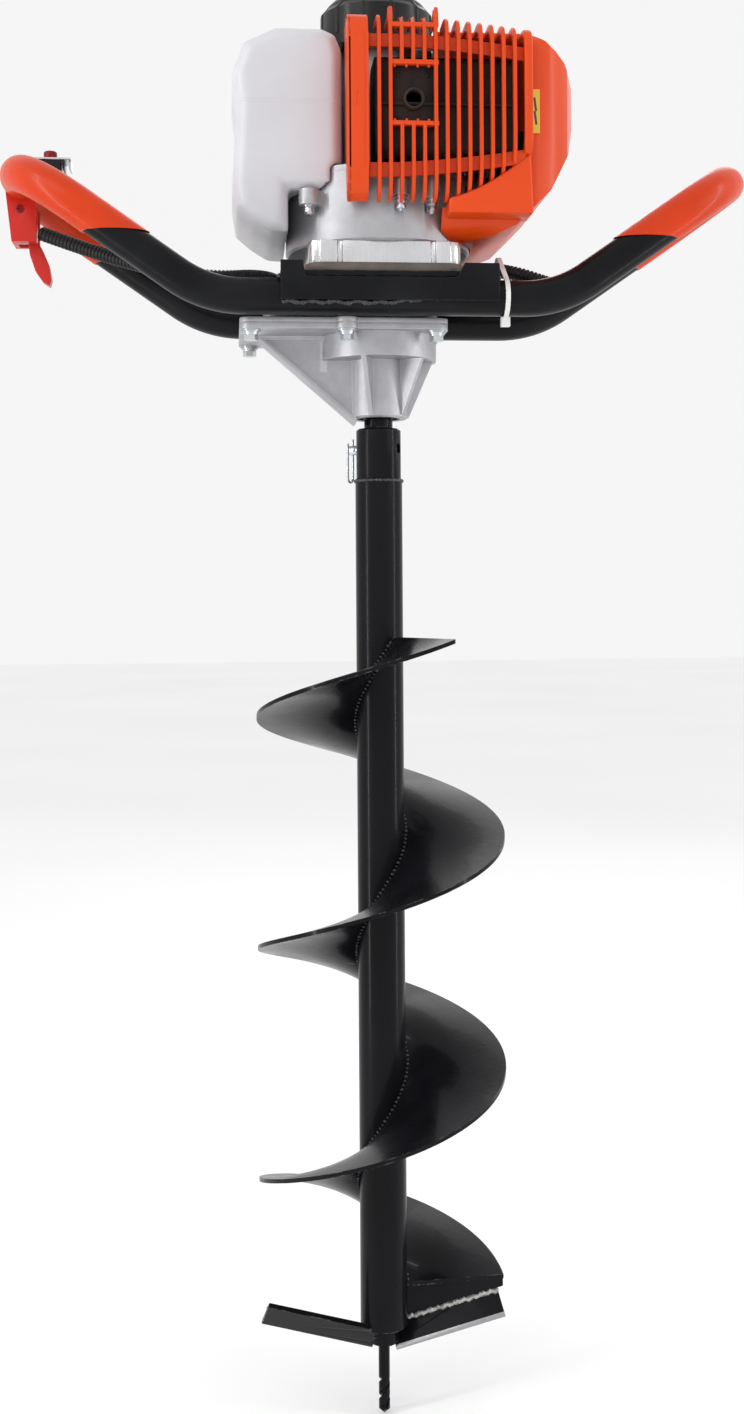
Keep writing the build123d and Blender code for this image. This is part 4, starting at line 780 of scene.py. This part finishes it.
# ---------------------------------------------------------------- stage
class AUGER_OT_stage(bpy.types.Operator):
    """Lay the pale floor, hang the soft lights and set the camera."""

    bl_idname = "auger.stage"
    bl_label = "Stage"

    def execute(self, context):
        clear()
        half = sizes().floor
        bpy.ops.mesh.primitive_plane_add(size=2 * half, location=(0, 0, -0.0005))
        floor = settle(bpy.context.object)
        floor.name = "floor"
        make = Finish("studio floor", Specular_IOR_Level=0.1)
        cloud = make.noise(0.8, 2.0)
        make.colour(make.mottle(cloud, (0.93, 0.93, 0.93, 1), (0.96, 0.96, 0.96, 1)))
        make.roughness(0.85 + cloud * 0.05)
        floor.data.materials.append(make.material)
        self.world(context)
        self.lamp("key", (-1.7, -2.3, 2.6), (0, 0, 0.85), 1.6, 13.0)
        self.lamp("fill", (2.4, -1.8, 1.5), (0, 0, 0.8), 1.2, 5.0)
        self.lamp("strip left", (-1.15, -0.5, 0.75), (0, 0, 0.62), 0.06, 9.0, 2.2)
        self.lamp("strip right", (1.25, -0.35, 0.75), (0, 0, 0.62), 0.06, 7.0, 2.2)
        self.lamp("rear", (0.7, 2.4, 2.2), (0, 0, 0.9), 1.5, 10.0)
        self.camera(context)
        context.scene.view_settings.view_transform = "Standard"
        return {"FINISHED"}

    def world(self, context):
        world = bpy.data.worlds.new("studio")
        world.use_nodes = True
        world.node_tree.nodes["Background"].inputs[0].default_value = (1.0, 1.0, 1.0, 1.0)
        world.node_tree.nodes["Background"].inputs[1].default_value = 0.92
        context.scene.world = world

    def lamp(self, name, place, target, size, power, tall=None):
        data = bpy.data.lights.new(name, "AREA")
        data.energy = power
        data.shape = "RECTANGLE"
        data.size, data.size_y = size, tall or size
        lamp = bpy.data.objects.new(name, data)
        bpy.context.collection.objects.link(lamp)
        lamp.location = place
        lamp.rotation_euler = (Vector(target) - Vector(place)).to_track_quat("-Z", "Y").to_euler()

    def camera(self, context):
        sensor, picture_height, focal_height, raised = 36.0, 1414.0, 1642.0, 117.0
        data = bpy.data.cameras.new("view")
        data.lens = sensor * focal_height / picture_height
        data.sensor_width = sensor
        data.shift_y = -raised / picture_height
        data.clip_end = 60.0
        camera = bpy.data.objects.new("view", data)
        context.collection.objects.link(camera)
        heading = math.radians(5.0)
        yaw = Matrix.Rotation(-heading, 4, "Z")
        place = yaw @ Vector((-0.006, -1.330, 0.666))
        tip = Matrix.Rotation(math.radians(90.0), 4, "X") @ Matrix.Rotation(math.radians(-0.36), 4, "Z")
        camera.matrix_world = Matrix.Translation(place) @ yaw @ tip
        context.scene.camera = camera


# ---------------------------------------------------------------- conduit
class AUGER_OT_conduit(bpy.types.Operator):
    """Make the ribbed split conduit along its route."""

    bl_idname = "auger.conduit"
    bl_label = "Conduit"

    groove_radius = 5.0
    rib_over_groove = 1.15
    route = (
        (-270.2, 11.5, 954.0),
        (-238.0, 5.0, 941.5),
        (-200.0, -12.0, 927.0),
        (-162.0, -26.0, 915.5),
        (-126.0, -30.0, 911.5),
        (-97.0, -14.0, 916.5),
        (-78.0, 17.0, 918.0),
        (-76.5, 57.0, 917.5),
        (-52.0, 86.0, 917.5),
        (-10.0, 93.0, 917.0),
        (34.0, 92.0, 917.5),
        (67.0, 72.0, 917.5),
        (77.0, 36.0, 917.5),
        (72.5, 3.0, 919.5),
        (82.0, -22.0, 922.5),
        (107.0, -40.0, 916.0),
        (134.0, -40.0, 907.0),
        (158.0, -23.5, 905.5),
        (166.0, 4.0, 907.5),
        (156.0, 31.0, 911.0),
        (128.0, 49.0, 915.0),
        (96.0, 67.0, 919.0),
        (69.0, 88.0, 932.0),
        (48.0, 93.0, 957.0),
        (42.0, 82.0, 984.0),
        (41.8, 74.0, 1006.5),
    )

    def execute(self, context):
        clear()
        curve = bpy.data.curves.new("conduit route", "CURVE")
        curve.dimensions = "3D"
        curve.twist_mode = "MINIMUM"
        spline = curve.splines.new("NURBS")
        spline.points.add(len(self.route) - 1)
        for point, place in zip(spline.points, self.route):
            point.co = (*(Vector(place) * MM), 1.0)
        spline.order_u = 3
        spline.use_endpoint_u = True
        spline.resolution_u = 16
        path = bpy.data.objects.new("conduit route", curve)
        context.collection.objects.link(path)
        pitch = sizes().conduit_rib
        rib = self.rib(pitch)
        repeat = rib.modifiers.new("repeat", "ARRAY")
        repeat.fit_type = "FIT_CURVE"
        repeat.curve = path
        repeat.use_relative_offset = False
        repeat.use_constant_offset = True
        repeat.constant_offset_displace = (pitch, 0, 0)
        repeat.use_merge_vertices = True
        repeat.merge_threshold = 5e-5
        follow = rib.modifiers.new("follow", "CURVE")
        follow.object = path
        follow.deform_axis = "POS_X"
        hold(rib)
        bpy.ops.object.modifier_apply(modifier="repeat")
        bpy.ops.object.modifier_apply(modifier="follow")
        edit(rib, "EDGE")
        bpy.ops.mesh.select_non_manifold()
        bpy.ops.mesh.edge_face_add()
        leave()
        bpy.data.objects.remove(path)
        face_out(rib)
        smooth(rib, 60.0)
        hand_over(rib, "conduit_ribbed", "power_head", "conduit", "throttle_conduit")
        return {"FINISHED"}

    def rib(self, pitch):
        """One rib and one groove, with no ends."""
        clear()
        bpy.ops.mesh.primitive_cylinder_add(
            vertices=20, radius=self.groove_radius * MM, depth=pitch, end_fill_type="NOTHING",
            location=(pitch / 2, 0, 0), rotation=(0, math.pi / 2, 0),
        )
        piece = settle(bpy.context.object)
        edit(piece, "EDGE")
        for share in (0.3, 0.42, 0.88):
            cut((pitch * share, 0, 0), (1, 0, 0))
        pick_edges(piece, lambda a, b: all(pitch * 0.35 < p.x < pitch * 0.95 for p in (a, b)))
        bpy.ops.transform.resize(value=(1.0, self.rib_over_groove, self.rib_over_groove))
        leave()
        return piece


# ---------------------------------------------------------------- tank
class AUGER_OT_tank(bpy.types.Operator):
    """Blow-mould the fuel tank, with its seam, and its knurled cap."""

    bl_idname = "auger.tank"
    bl_label = "Tank"

    def execute(self, context):
        piece = twin("fuel_tank", "tank_shell")
        modify(piece, "REMESH", mode="VOXEL", voxel_size=sizes().tank_voxel, adaptivity=0.0)
        modify(piece, "SMOOTH", factor=0.5, iterations=4)
        edit(piece, "EDGE")
        for height in (1.0409, 1.0416, 1.0424, 1.0431):
            cut((0, 0, height), (0, 0, 1))
        seam_low, seam_high, seam_stand = 1.0414, 1.0426, 0.00035
        pick_edges(piece, lambda a, b: all(seam_low < p.z < seam_high for p in (a, b)))
        bpy.ops.transform.shrink_fatten(value=seam_stand)
        leave()
        hold(piece)
        bpy.ops.object.shade_smooth()
        hand_over(piece, "tank_shell", "power_head", "tank", "fuel_tank")
        eased("fuel_cap", "tank_cap", "fuel_cap", "black", 0.5)
        return {"FINISHED"}


# ---------------------------------------------------------------- muffler guard
class AUGER_OT_guard(bpy.types.Operator):
    """Make the muffler guard: bands with slats standing in front of them, and the muffler behind."""

    bl_idname = "auger.guard"
    bl_label = "Muffler guard"

    left, right = -30.0, 111.0
    front, back = -95.0, -59.5
    top, bottom = 1103.0, 961.0
    first = -6.3
    count = 13
    raised_slats, raised_by = (1, 5), 6.0
    window_slats = (2, 3, 4)
    window = (2.6, 39.0)
    window_heights = (1018.0, 1065.0), (1094.5, 1120.0)

    def lift(self, x):
        """How much lower the top is, towards the right."""
        return 9.0 * max(0.0, (x - 20.0) / 91.0) ** 1.3

    def rise(self, x):
        """How much higher the bottom band is, towards the right."""
        return 13.0 * max(0.0, (x + 5.0) / 116.0) ** 1.6

    def curl(self, x):
        """How much higher the slats end, towards the right."""
        return 34.0 * max(0.0, (x - 45.0) / 64.0) ** 1.5

    def outline(self, x, deep, raise_top=0.0):
        """Section of a slat: front edge rolled over at the top and curled in at the bottom."""
        top = self.top - self.lift(x)
        low = self.bottom + self.curl(x)
        f, rear = self.front, self.front + deep
        outer = [(-80, low), (-86, low + 1), (-91, low + 5), (-94, low + 12), (f, low + 22), (f, top - 20)]
        outer += [(-94, top - 11), (-90.5, top - 4.5 + raise_top * 0.4)]
        outer += [(-85, top - 1 + raise_top), (-77, top), (self.back, top - 0.5)]
        inner = [(self.back, top - 5), (-77, top - deep + 1), (-83, top - deep - 1)]
        inner += [(rear + 1.6, top - deep - 6), (rear, top - 24), (rear, low + 24)]
        inner += [(rear + 1, low + 15), (-84.5, low + 9), (-80, low + 7)]
        return outer + inner

    def slats(self):
        made = []
        wide, deep = sizes().slat / MM, sizes().slat_depth / MM
        for index in range(self.count):
            x = self.first + index * sizes().slat_spacing / MM
            raised = self.raised_by if index in self.raised_slats else 0.0
            points = [(x - wide / 2, y, z) for y, z in self.outline(x, deep, raised)]
            slat = shape(points, (wide, 0, 0), 0.55, 2)
            if index in self.window_slats:
                for low, high in self.window_heights:
                    edit(slat)
                    for height in (low, high):
                        cut((0, 0, height * MM), (0, 0, 1), use_fill=False)
                    pick_faces(slat, lambda c, n: low * MM < c.z < high * MM and c.y < -0.080)
                    bpy.ops.mesh.delete(type="FACE")
                    close_openings()
                    leave()
            made.append(face_out(slat))
        return made

    def band(self, heights, thick, y, step=8):
        """Long thin band across the guard; heights gives (low, high) at any X."""
        edge = [self.left + 15 + (self.right - self.left - 20) * i / step for i in range(step + 1)]
        points = [(x, y, heights(x)[0]) for x in edge] + [(x, y, heights(x)[1]) for x in reversed(edge)]
        return shape(points, (0, thick, 0), 0.5, 2)

    def execute(self, context):
        deep = sizes().slat_depth / MM
        parts = self.slats()
        y = self.front + deep - 0.4
        parts.append(self.band(lambda x: (1077.0 - self.lift(x), 1087.0 - self.lift(x)), 3.0, y))
        parts.append(self.band(lambda x: (978.5 + self.rise(x), 989.5 + self.rise(x) * 0.95), 3.0, y))
        parts.append(self.band(lambda x: (1084.0 - self.lift(x), 1087.0 - self.lift(x)), 26.0, -87.0))
        start, end = self.window
        sills = (1062.5, 3.6, 0.6, 6.6), (1016.5, 3.4, 0.6, 6.6), (1091.0, 3.5, 1.6, 6.0)
        for z, thick, near, far in sills:
            parts.append(bar((start, self.front + near, z), (end, self.front + far, z + thick), 0.6))
        spike = (-91, 1092), (-88, 1104), (-85.5, 1109), (-82, 1104), (-78, 1096)
        for x in (3.0, 38.0):
            parts.append(shape([(x - 1.5, y, z) for y, z in spike], (3.0, 0, 0), 0.5))
        skirt = [(47.0, 952.0), (47.0, 963.5)]
        skirt += [(x, 963.5 + self.curl(x)) for x in range(50, 112, 6)] + [(112.0, 952.0)]
        parts.append(shape([(x, -90.0, z) for x, z in skirt], (0, 31.0, 0), 2.2, 3))
        parts.append(self.cheek())
        parts.append(self.right_frame())
        for x in (5.5, 14.5, 23.0, 31.5):
            for z in (1061.8, 1020.6):
                corners = (x - 0.9, self.front + 2, z - 1.1), (x + 0.9, self.front + 4.5, z + 1.1)
                parts.append(bar(*corners, 0.4))
        guard = join(parts)
        smooth(guard, 35.0)
        hand_over(guard, "guard_grille", "power_head", "orange", "muffler_guard")
        self.muffler()
        return {"FINISHED"}

    def cheek(self):
        """Solid left band, with its side wall and a small latch mark."""
        outer = self.outline(-30.0, 3.0)
        points = [(-30.0, y, z) for y, z in outer]
        band = shape(points, (15.5, 0, 0), 0.9, 3)
        wall = [(-30.0, y, z) for y, z in outer[:11]] + [(-30.0, -62.0, 1000.0), (-30.0, -74.0, 964.0)]
        side = shape(wall, (2.6, 0, 0), 0.5)
        marks = [
            bar((-24.6, -95.5, 1031.0), (-24.0, -94.6, 1041.5), 0.15, 1),
            bar((-24.6, -95.5, 1041.0), (-21.4, -94.6, 1041.6), 0.15, 1),
            bar((-24.6, -95.5, 1030.8), (-21.4, -94.6, 1031.4), 0.15, 1),
        ]
        rib = bar((-16.0, -95.6, 985.0), (-14.3, -93.0, 1086.0), 0.5)
        return join([band, side, rib] + marks)

    def right_frame(self):
        points = [(104.6, y, z) for y, z in self.outline(108.0, 6.5)]
        return shape(points, (6.4, 0, 0), 1.4, 3)

    def muffler(self):
        """Black muffler with a pressed rim, a riveted plate at the outlet and the outlet's lip."""
        body = twin("muffler", "muffler_box")
        round_off(body, 0.8, 2, 30.0)
        parts = [body]
        parts.append(bar((-7.0, -89.4, 1033.0), (97.0, -86.5, 1035.4), 0.6))
        clear()
        bpy.ops.mesh.primitive_torus_add(
            location=(20 * MM, -94.2 * MM, 1037 * MM), rotation=(math.pi / 2, 0, 0),
            major_radius=7.1 * MM, minor_radius=0.75 * MM, major_segments=40, minor_segments=10,
        )
        parts.append(settle(bpy.context.object))
        for x in (8.5, 31.5):
            for z in (1024.0, 1056.0):
                clear()
                bpy.ops.mesh.primitive_uv_sphere_add(
                    radius=1.6 * MM, segments=14, ring_count=8,
                    location=(x * MM, -87.2 * MM, z * MM), scale=(1, 0.6, 1),
                )
                parts.append(settle(bpy.context.object))
        piece = join(parts)
        smooth(piece, 35.0)
        hand_over(piece, "muffler_box", "power_head", "heat", "muffler")


# ---------------------------------------------------------------- cylinder cover
class AUGER_OT_cowl(bpy.types.Operator):
    """Round the cylinder cover's moulded edges and add its label."""

    bl_idname = "auger.cowl"
    bl_label = "Cylinder cover"

    def execute(self, context):
        piece = twin("cylinder_cover", "cowl_shell")
        round_off(piece, 1.2, 3, 38.0, use_clamp_overlap=True)
        smooth(piece, 48.0)
        hand_over(piece, "cowl_shell", "power_head", "orange", "cylinder_cover")
        label = bar((114.0, -72.6, 1018.0), (120.0, -71.0, 1052.0), 0.3)
        hand_over(label, "cowl_label", "power_head", "label")
        return {"FINISHED"}


# ---------------------------------------------------------------- recoil starter
class AUGER_OT_starter(bpy.types.Operator):
    """Round the starter dome and add its ribs, pull handle and rope."""

    bl_idname = "auger.starter"
    bl_label = "Recoil starter"

    def execute(self, context):
        dome = twin("starter_housing", "starter_dome")
        round_off(dome, 1.4, 3, 24.0, use_clamp_overlap=True)
        parts = [dome]
        for index in range(12):
            turn = Matrix.Rotation(2 * math.pi * index / 12 + 0.2, 4, "Z")
            points = [(40.0, -1.6, 1112.0), (45.8, -1.6, 1106.0), (45.8, -1.6, 1126.8), (41.6, -1.6, 1131.6),
                      (36.4, -1.6, 1137.6), (24.0, -1.6, 1137.9), (24.0, -1.6, 1136.0)]
            rib = shape(points, (0, 3.2, 0), 0.6)
            rib.matrix_world = turn
            parts.append(settle(rib))
        piece = join(parts)
        smooth(piece, 35.0)
        hand_over(piece, "starter_dome", "power_head", "black", "starter_housing")
        self.handle()
        self.rope()
        return {"FINISHED"}

    def handle(self):
        """Pull grip, waisted where the fingers go, with a ribbed front."""
        grip = twin("starter_handle", "starter_grip")
        skin(grip, 0.9 * MM, 5)
        hand_over(grip, "starter_grip", "starter_handle", "black", "starter_handle")

    def rope(self):
        """The cord between the pulley and the handle."""
        clear()
        bpy.ops.mesh.primitive_cylinder_add(
            vertices=16, radius=1.9 * MM, depth=56 * MM, location=(28 * MM, 32 * MM, 1112 * MM),
            rotation=(math.pi / 2, 0, 0),
        )
        rope = settle(bpy.context.object)
        edit(rope, "EDGE")
        for index in range(1, 28):
            cut((0, (4 + 2 * index) * MM, 0), (0, 1, 0))
        leave()
        smooth(rope, 50.0)
        settle(rope)
        rope.name = "starter_cord"
        paint(rope, "rope")
        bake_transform(rope)
        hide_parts("starter_rope")


# ---------------------------------------------------------------- castings and stack
class AUGER_OT_castings(bpy.types.Operator):
    """Ease the edges of the castings, the adapter and the damping plate."""

    bl_idname = "auger.castings"
    bl_label = "Castings"

    def execute(self, context):
        for node, name, finish, width, segments in (
            ("gearbox_housing", "gearbox_lower", "cast", 0.9, 3),
            ("gearbox_cover", "gearbox_upper", "cast", 0.9, 3),
            ("fan_housing", "fan_case", "cast", 1.2, 3),
            ("crankcase", "crank_case", "cast", 1.0, 2),
            ("cylinder", "cylinder_finned", "cast", 0.35, 2),
            ("adapter_block", "adapter", "machined", 0.5, 2),
            ("damper_plate", "damper", "plate", 0.9, 2),
        ):
            eased(node, name, "power_head", finish, width, segments)
        self.screws()
        return {"FINISHED"}

    def screws(self):
        """Case screws under the tank and the guard: washer, sprung washer and socket head."""
        parts = [twin("housing_screws", "case_screws")]
        places = ((-58.0, -58.0, 962.6), (11.0, -78.0, 962.0), (36.0, -70.0, 962.0))
        profile = [(0.01, -7.0), (2.2, -7.0), (2.2, -5.2), (4.1, -5.2), (4.1, -0.6), (3.7, 0.0), (5.2, 0.0)]
        profile += [(5.2, 1.2), (4.6, 1.2), (4.6, 2.8), (5.6, 2.8), (5.6, 4.0)]
        profile += [(3.0, 4.0), (3.0, 6.0), (0.01, 6.0)]
        for x, y, z in places:
            parts.append(turned([(radius, z + height) for radius, height in profile], 32, (x, y)))
        piece = join(parts)
        smooth(piece, 30.0)
        hand_over(piece, "case_screws", "power_head", "zinc", "housing_screws")


# ---------------------------------------------------------------- handle frame
class AUGER_OT_frame(bpy.types.Operator):
    """Ease the frame's plates and lay its weld beads."""

    bl_idname = "auger.frame"
    bl_label = "Handle frame"

    def execute(self, context):
        eased("side_plates", "frame_side_plates", "power_head", "frame", 0.7)
        eased("mounting_plate", "frame_plate", "power_head", "frame", 0.6)
        bead = sizes().weld_bead
        parts = []
        for side in (-1, 1):
            y = side * 76.6
            line = []
            for index in range(66):
                x = -79.0 + index * 2.5
                z = 887.0 + 9.0 * max(0.0, x / 87.0) + 0.8 * math.sin(index * 0.9)
                line.append((x, y * (1 + 0.004 * math.sin(index * 0.6)), z - 1.2))
            parts.append(weld_bead(line, bead))
        for x in (-81.5, 87.5):
            for y in (-62.0, 62.0):
                line = [(x, y + t, 907.4 - 0.018 * t * t) for t in range(-10, 11, 2)]
                parts.append(weld_bead(line, bead * 0.9))
        welds = join(parts)
        hand_over(welds, "frame_welds", "power_head", "weld")
        return {"FINISHED"}


# ---------------------------------------------------------------- bit
class AUGER_OT_bit(bpy.types.Operator):
    """Grind the cutting edges and weld the flight and the blades to the tube."""

    bl_idname = "auger.bit"
    bl_label = "Bit"

    def execute(self, context):
        self.blades()
        self.welds()
        eased("connecting_pin", "coupling_pin", "bit", "zinc", 0.25)
        eased("bit_socket", "tube_socket", "bit", "bit", 0.5)
        return {"FINISHED"}

    def blades(self):
        blades = twin("cutting_blades", "blades")
        paint(blades, "bit", "ground")
        tilt = Matrix.Rotation(math.radians(-14.5), 3, "Y") @ Matrix.Rotation(math.radians(50.0), 3, "X")
        for turn in (0.0, math.pi):
            flip = Matrix.Rotation(turn, 3, "Z")
            back, top = flip @ tilt @ Vector((0, 1, 0)), flip @ tilt @ Vector((0, 0, 1))
            middle = flip @ (Vector((51.53, 5.0, 74.48)) * MM)
            line = middle - back * 11.2 * MM
            edit(blades)
            pick_faces(blades, lambda c, n: c.x * middle.x > 0)
            bpy.ops.mesh.bisect(plane_co=line, plane_no=back)
            leave()
            for polygon in blades.data.polygons:
                near = (polygon.center - line).dot(back) < 0 and polygon.center.x * middle.x > 0
                if near and (polygon.normal.dot(top) > 0.4 or polygon.normal.dot(back) < -0.6):
                    polygon.material_index = 1
        round_off(blades, 0.25, 2, 20.0)
        smooth(blades, 25.0)
        hand_over(blades, "blades", "bit", None, "cutting_blades")

    def welds(self):
        bead = sizes().weld_bead
        line = []
        turn, last, step = -352.0, 656.0, 5.6
        radius, middle, pitch, above = 20.0, 285.6, 186.0, 2.1
        while turn < last:
            angle = math.radians(turn)
            z = middle + pitch * turn / 360.0
            line.append((radius * math.cos(angle), radius * math.sin(angle), z + above))
            turn += step
        upper = weld_bead(line, bead * 0.8)
        lower = weld_bead([(x, y, z - 4.6) for x, y, z in line], bead * 0.7)
        collar = [(18.7 * math.cos(a / 9.0), 18.7 * math.sin(a / 9.0), 754.0) for a in range(57)]
        hand_over(join([upper, lower, weld_bead(collar, bead * 0.8)]), "flight_welds", "bit", "weld")
        seam = []
        for index in range(38):
            share = index / 37
            seam.append((21.0 + 73.0 * share, 7.8, 72.9 + 18.8 * share + 0.7 * math.sin(index * 1.7)))
        right = weld_bead(seam, bead * 1.05)
        left = weld_bead([(-x, -y, z) for x, y, z in seam], bead * 0.9)
        hand_over(join([right, left]), "blade_welds", "bit", "bright weld")


# ---------------------------------------------------------------- controls and intake
class AUGER_OT_controls(bpy.types.Operator):
    """Shape the throttle, the stop switch and the intake side."""

    bl_idname = "auger.controls"
    bl_label = "Controls"

    def execute(self, context):
        case = twin("throttle_housing", "throttle_case")
        edit(case, "VERT")
        mesh = bmesh.from_edit_mesh(case.data)
        for vertex in mesh.verts:
            vertex.select_set(vertex.co.x < -0.290 and vertex.co.z < 0.975)
        bmesh.update_edit_mesh(case.data)
        bpy.ops.transform.translate(value=(4.5 * MM, 0, 0))
        leave()
        round_off(case, 1.4, 3, 28.0)
        smooth(case, 35.0)
        hand_over(case, "throttle_case", "power_head", "red", "throttle_housing")
        profile = [(0.01, -0.4), (3.4, -0.4), (3.4, 0.7), (2.6, 1.2), (1.6, 1.2), (1.4, 0.3), (0.01, 0.3)]
        pivot = lay(turned(profile, 28), (-286.0, 5.2, 972.0), math.pi / 2)
        smooth(pivot, 30.0)
        hand_over(pivot, "throttle_pivot", "power_head", "dark red")
        trigger = twin("throttle_trigger", "trigger_leaf")
        skin(trigger, 0.55 * MM, 4)
        hand_over(trigger, "trigger_leaf", "throttle_trigger", "red", "throttle_trigger")
        eased("stop_switch_body", "stop_switch", "power_head", "black", 0.4)
        tray = bar((-279.0, 29.0, 1018.1), (-247.6, 51.0, 1019.9), 0.4)
        plate = join([tray, bar((-249.4, 33.0, 1011.0), (-247.6, 47.0, 1019.5), 0.4)])
        hand_over(plate, "stop_switch_plate", "power_head", "zinc")
        eased("stop_button", "stop_button_cap", "stop_button", "dark red", 0.8, 3)
        box = twin("air_filter_cover", "filter_box")
        round_off(box, 0.8, 2, 25.0)
        parts = [box]
        for index in range(5):
            z = 1004.0 + 14.5 * index
            parts.append(bar((58.0, 119.0, z), (110.0, 119.95, z + 3.0), 0.4))
        knob = turned([(0.01, 0), (9, 0), (9, 5.5), (7.5, 6.5), (0.01, 6.5)], 32)
        parts.append(lay(knob, (84, 113.4, 1033), -math.pi / 2))
        filter_box = join(parts)
        smooth(filter_box, 35.0)
        hand_over(filter_box, "filter_box", "power_head", "black", "air_filter_cover")
        eased("carburettor", "carburettor_body", "power_head", "lathe", 0.7)
        eased("plug_cap", "plug_boot", "power_head", "rubber", 0.6)
        return {"FINISHED"}


# ---------------------------------------------------------------- finishes on the pieces that stay
class AUGER_OT_finishes(bpy.types.Operator):
    """Give every piece that the frame keeps its own finish."""

    bl_idname = "auger.finishes"
    bl_label = "Finishes"

    kept = {
        "bit": ("bit_tube", "pilot_holder", "pilot_drill", "output_shaft",
                "flight_turn_1", "flight_turn_2", "flight_turn_3", "flight_turn_4"),
        "steel": ("output_gear", "shaft_bearings", "countershaft", "intermediate_gear",
                  "crankshaft", "connecting_rod"),
        "zinc": ("pin_clip", "gearbox_bolts", "spark_plug", "throttle_arm"),
        "iron": ("clutch_drum", "clutch_shoe_front", "clutch_shoe_rear"),
        "lathe": ("piston",),
        "cast": ("flywheel",),
        "rubber": ("oil_seal",),
        "frame": ("left_handle_tube", "right_handle_tube"),
        "grip": ("left_grip", "right_grip"),
        "black": ("choke_lever", "starter_pulley"),
        "white": ("cable_tie",),
    }

    def execute(self, context):
        for finish, nodes in self.kept.items():
            for node in nodes:
                piece = frame["nodes"][node]
                piece.data.materials.clear()
                piece.data.materials.append(finishes[finish])
        return {"FINISHED"}


# ---------------------------------------------------------------- panel and registration
STEPS = (
    AUGER_OT_stage,
    AUGER_OT_conduit,
    AUGER_OT_tank,
    AUGER_OT_guard,
    AUGER_OT_cowl,
    AUGER_OT_starter,
    AUGER_OT_castings,
    AUGER_OT_frame,
    AUGER_OT_bit,
    AUGER_OT_controls,
    AUGER_OT_finishes,
)


class AUGER_PT_panel(bpy.types.Panel):
    """The steps that build the auger, in order."""

    bl_idname = "AUGER_PT_panel"
    bl_label = "Petrol auger"
    bl_space_type = "VIEW_3D"
    bl_region_type = "UI"
    bl_category = "Auger"

    def draw(self, context):
        for group in (context.scene.auger_sizes, context.scene.auger_colours):
            for key in group.__annotations__:
                self.layout.prop(group, key)
        for step in STEPS:
            self.layout.operator(step.bl_idname)


def register():
    for item in (AugerSizes, AugerColours, AUGER_PT_panel) + STEPS:
        bpy.utils.register_class(item)
    bpy.types.Scene.auger_sizes = bpy.props.PointerProperty(type=AugerSizes)
    bpy.types.Scene.auger_colours = bpy.props.PointerProperty(type=AugerColours)


def unregister():
    del bpy.types.Scene.auger_colours
    del bpy.types.Scene.auger_sizes
    for item in reversed((AugerSizes, AugerColours, AUGER_PT_panel) + STEPS):
        bpy.utils.unregister_class(item)


def main():
    register()
    finishes.update(make_finishes())
    for step in STEPS:
        group, name = step.bl_idname.split(".")
        getattr(getattr(bpy.ops, group), name)()


if __name__ == "__main__":
    main()
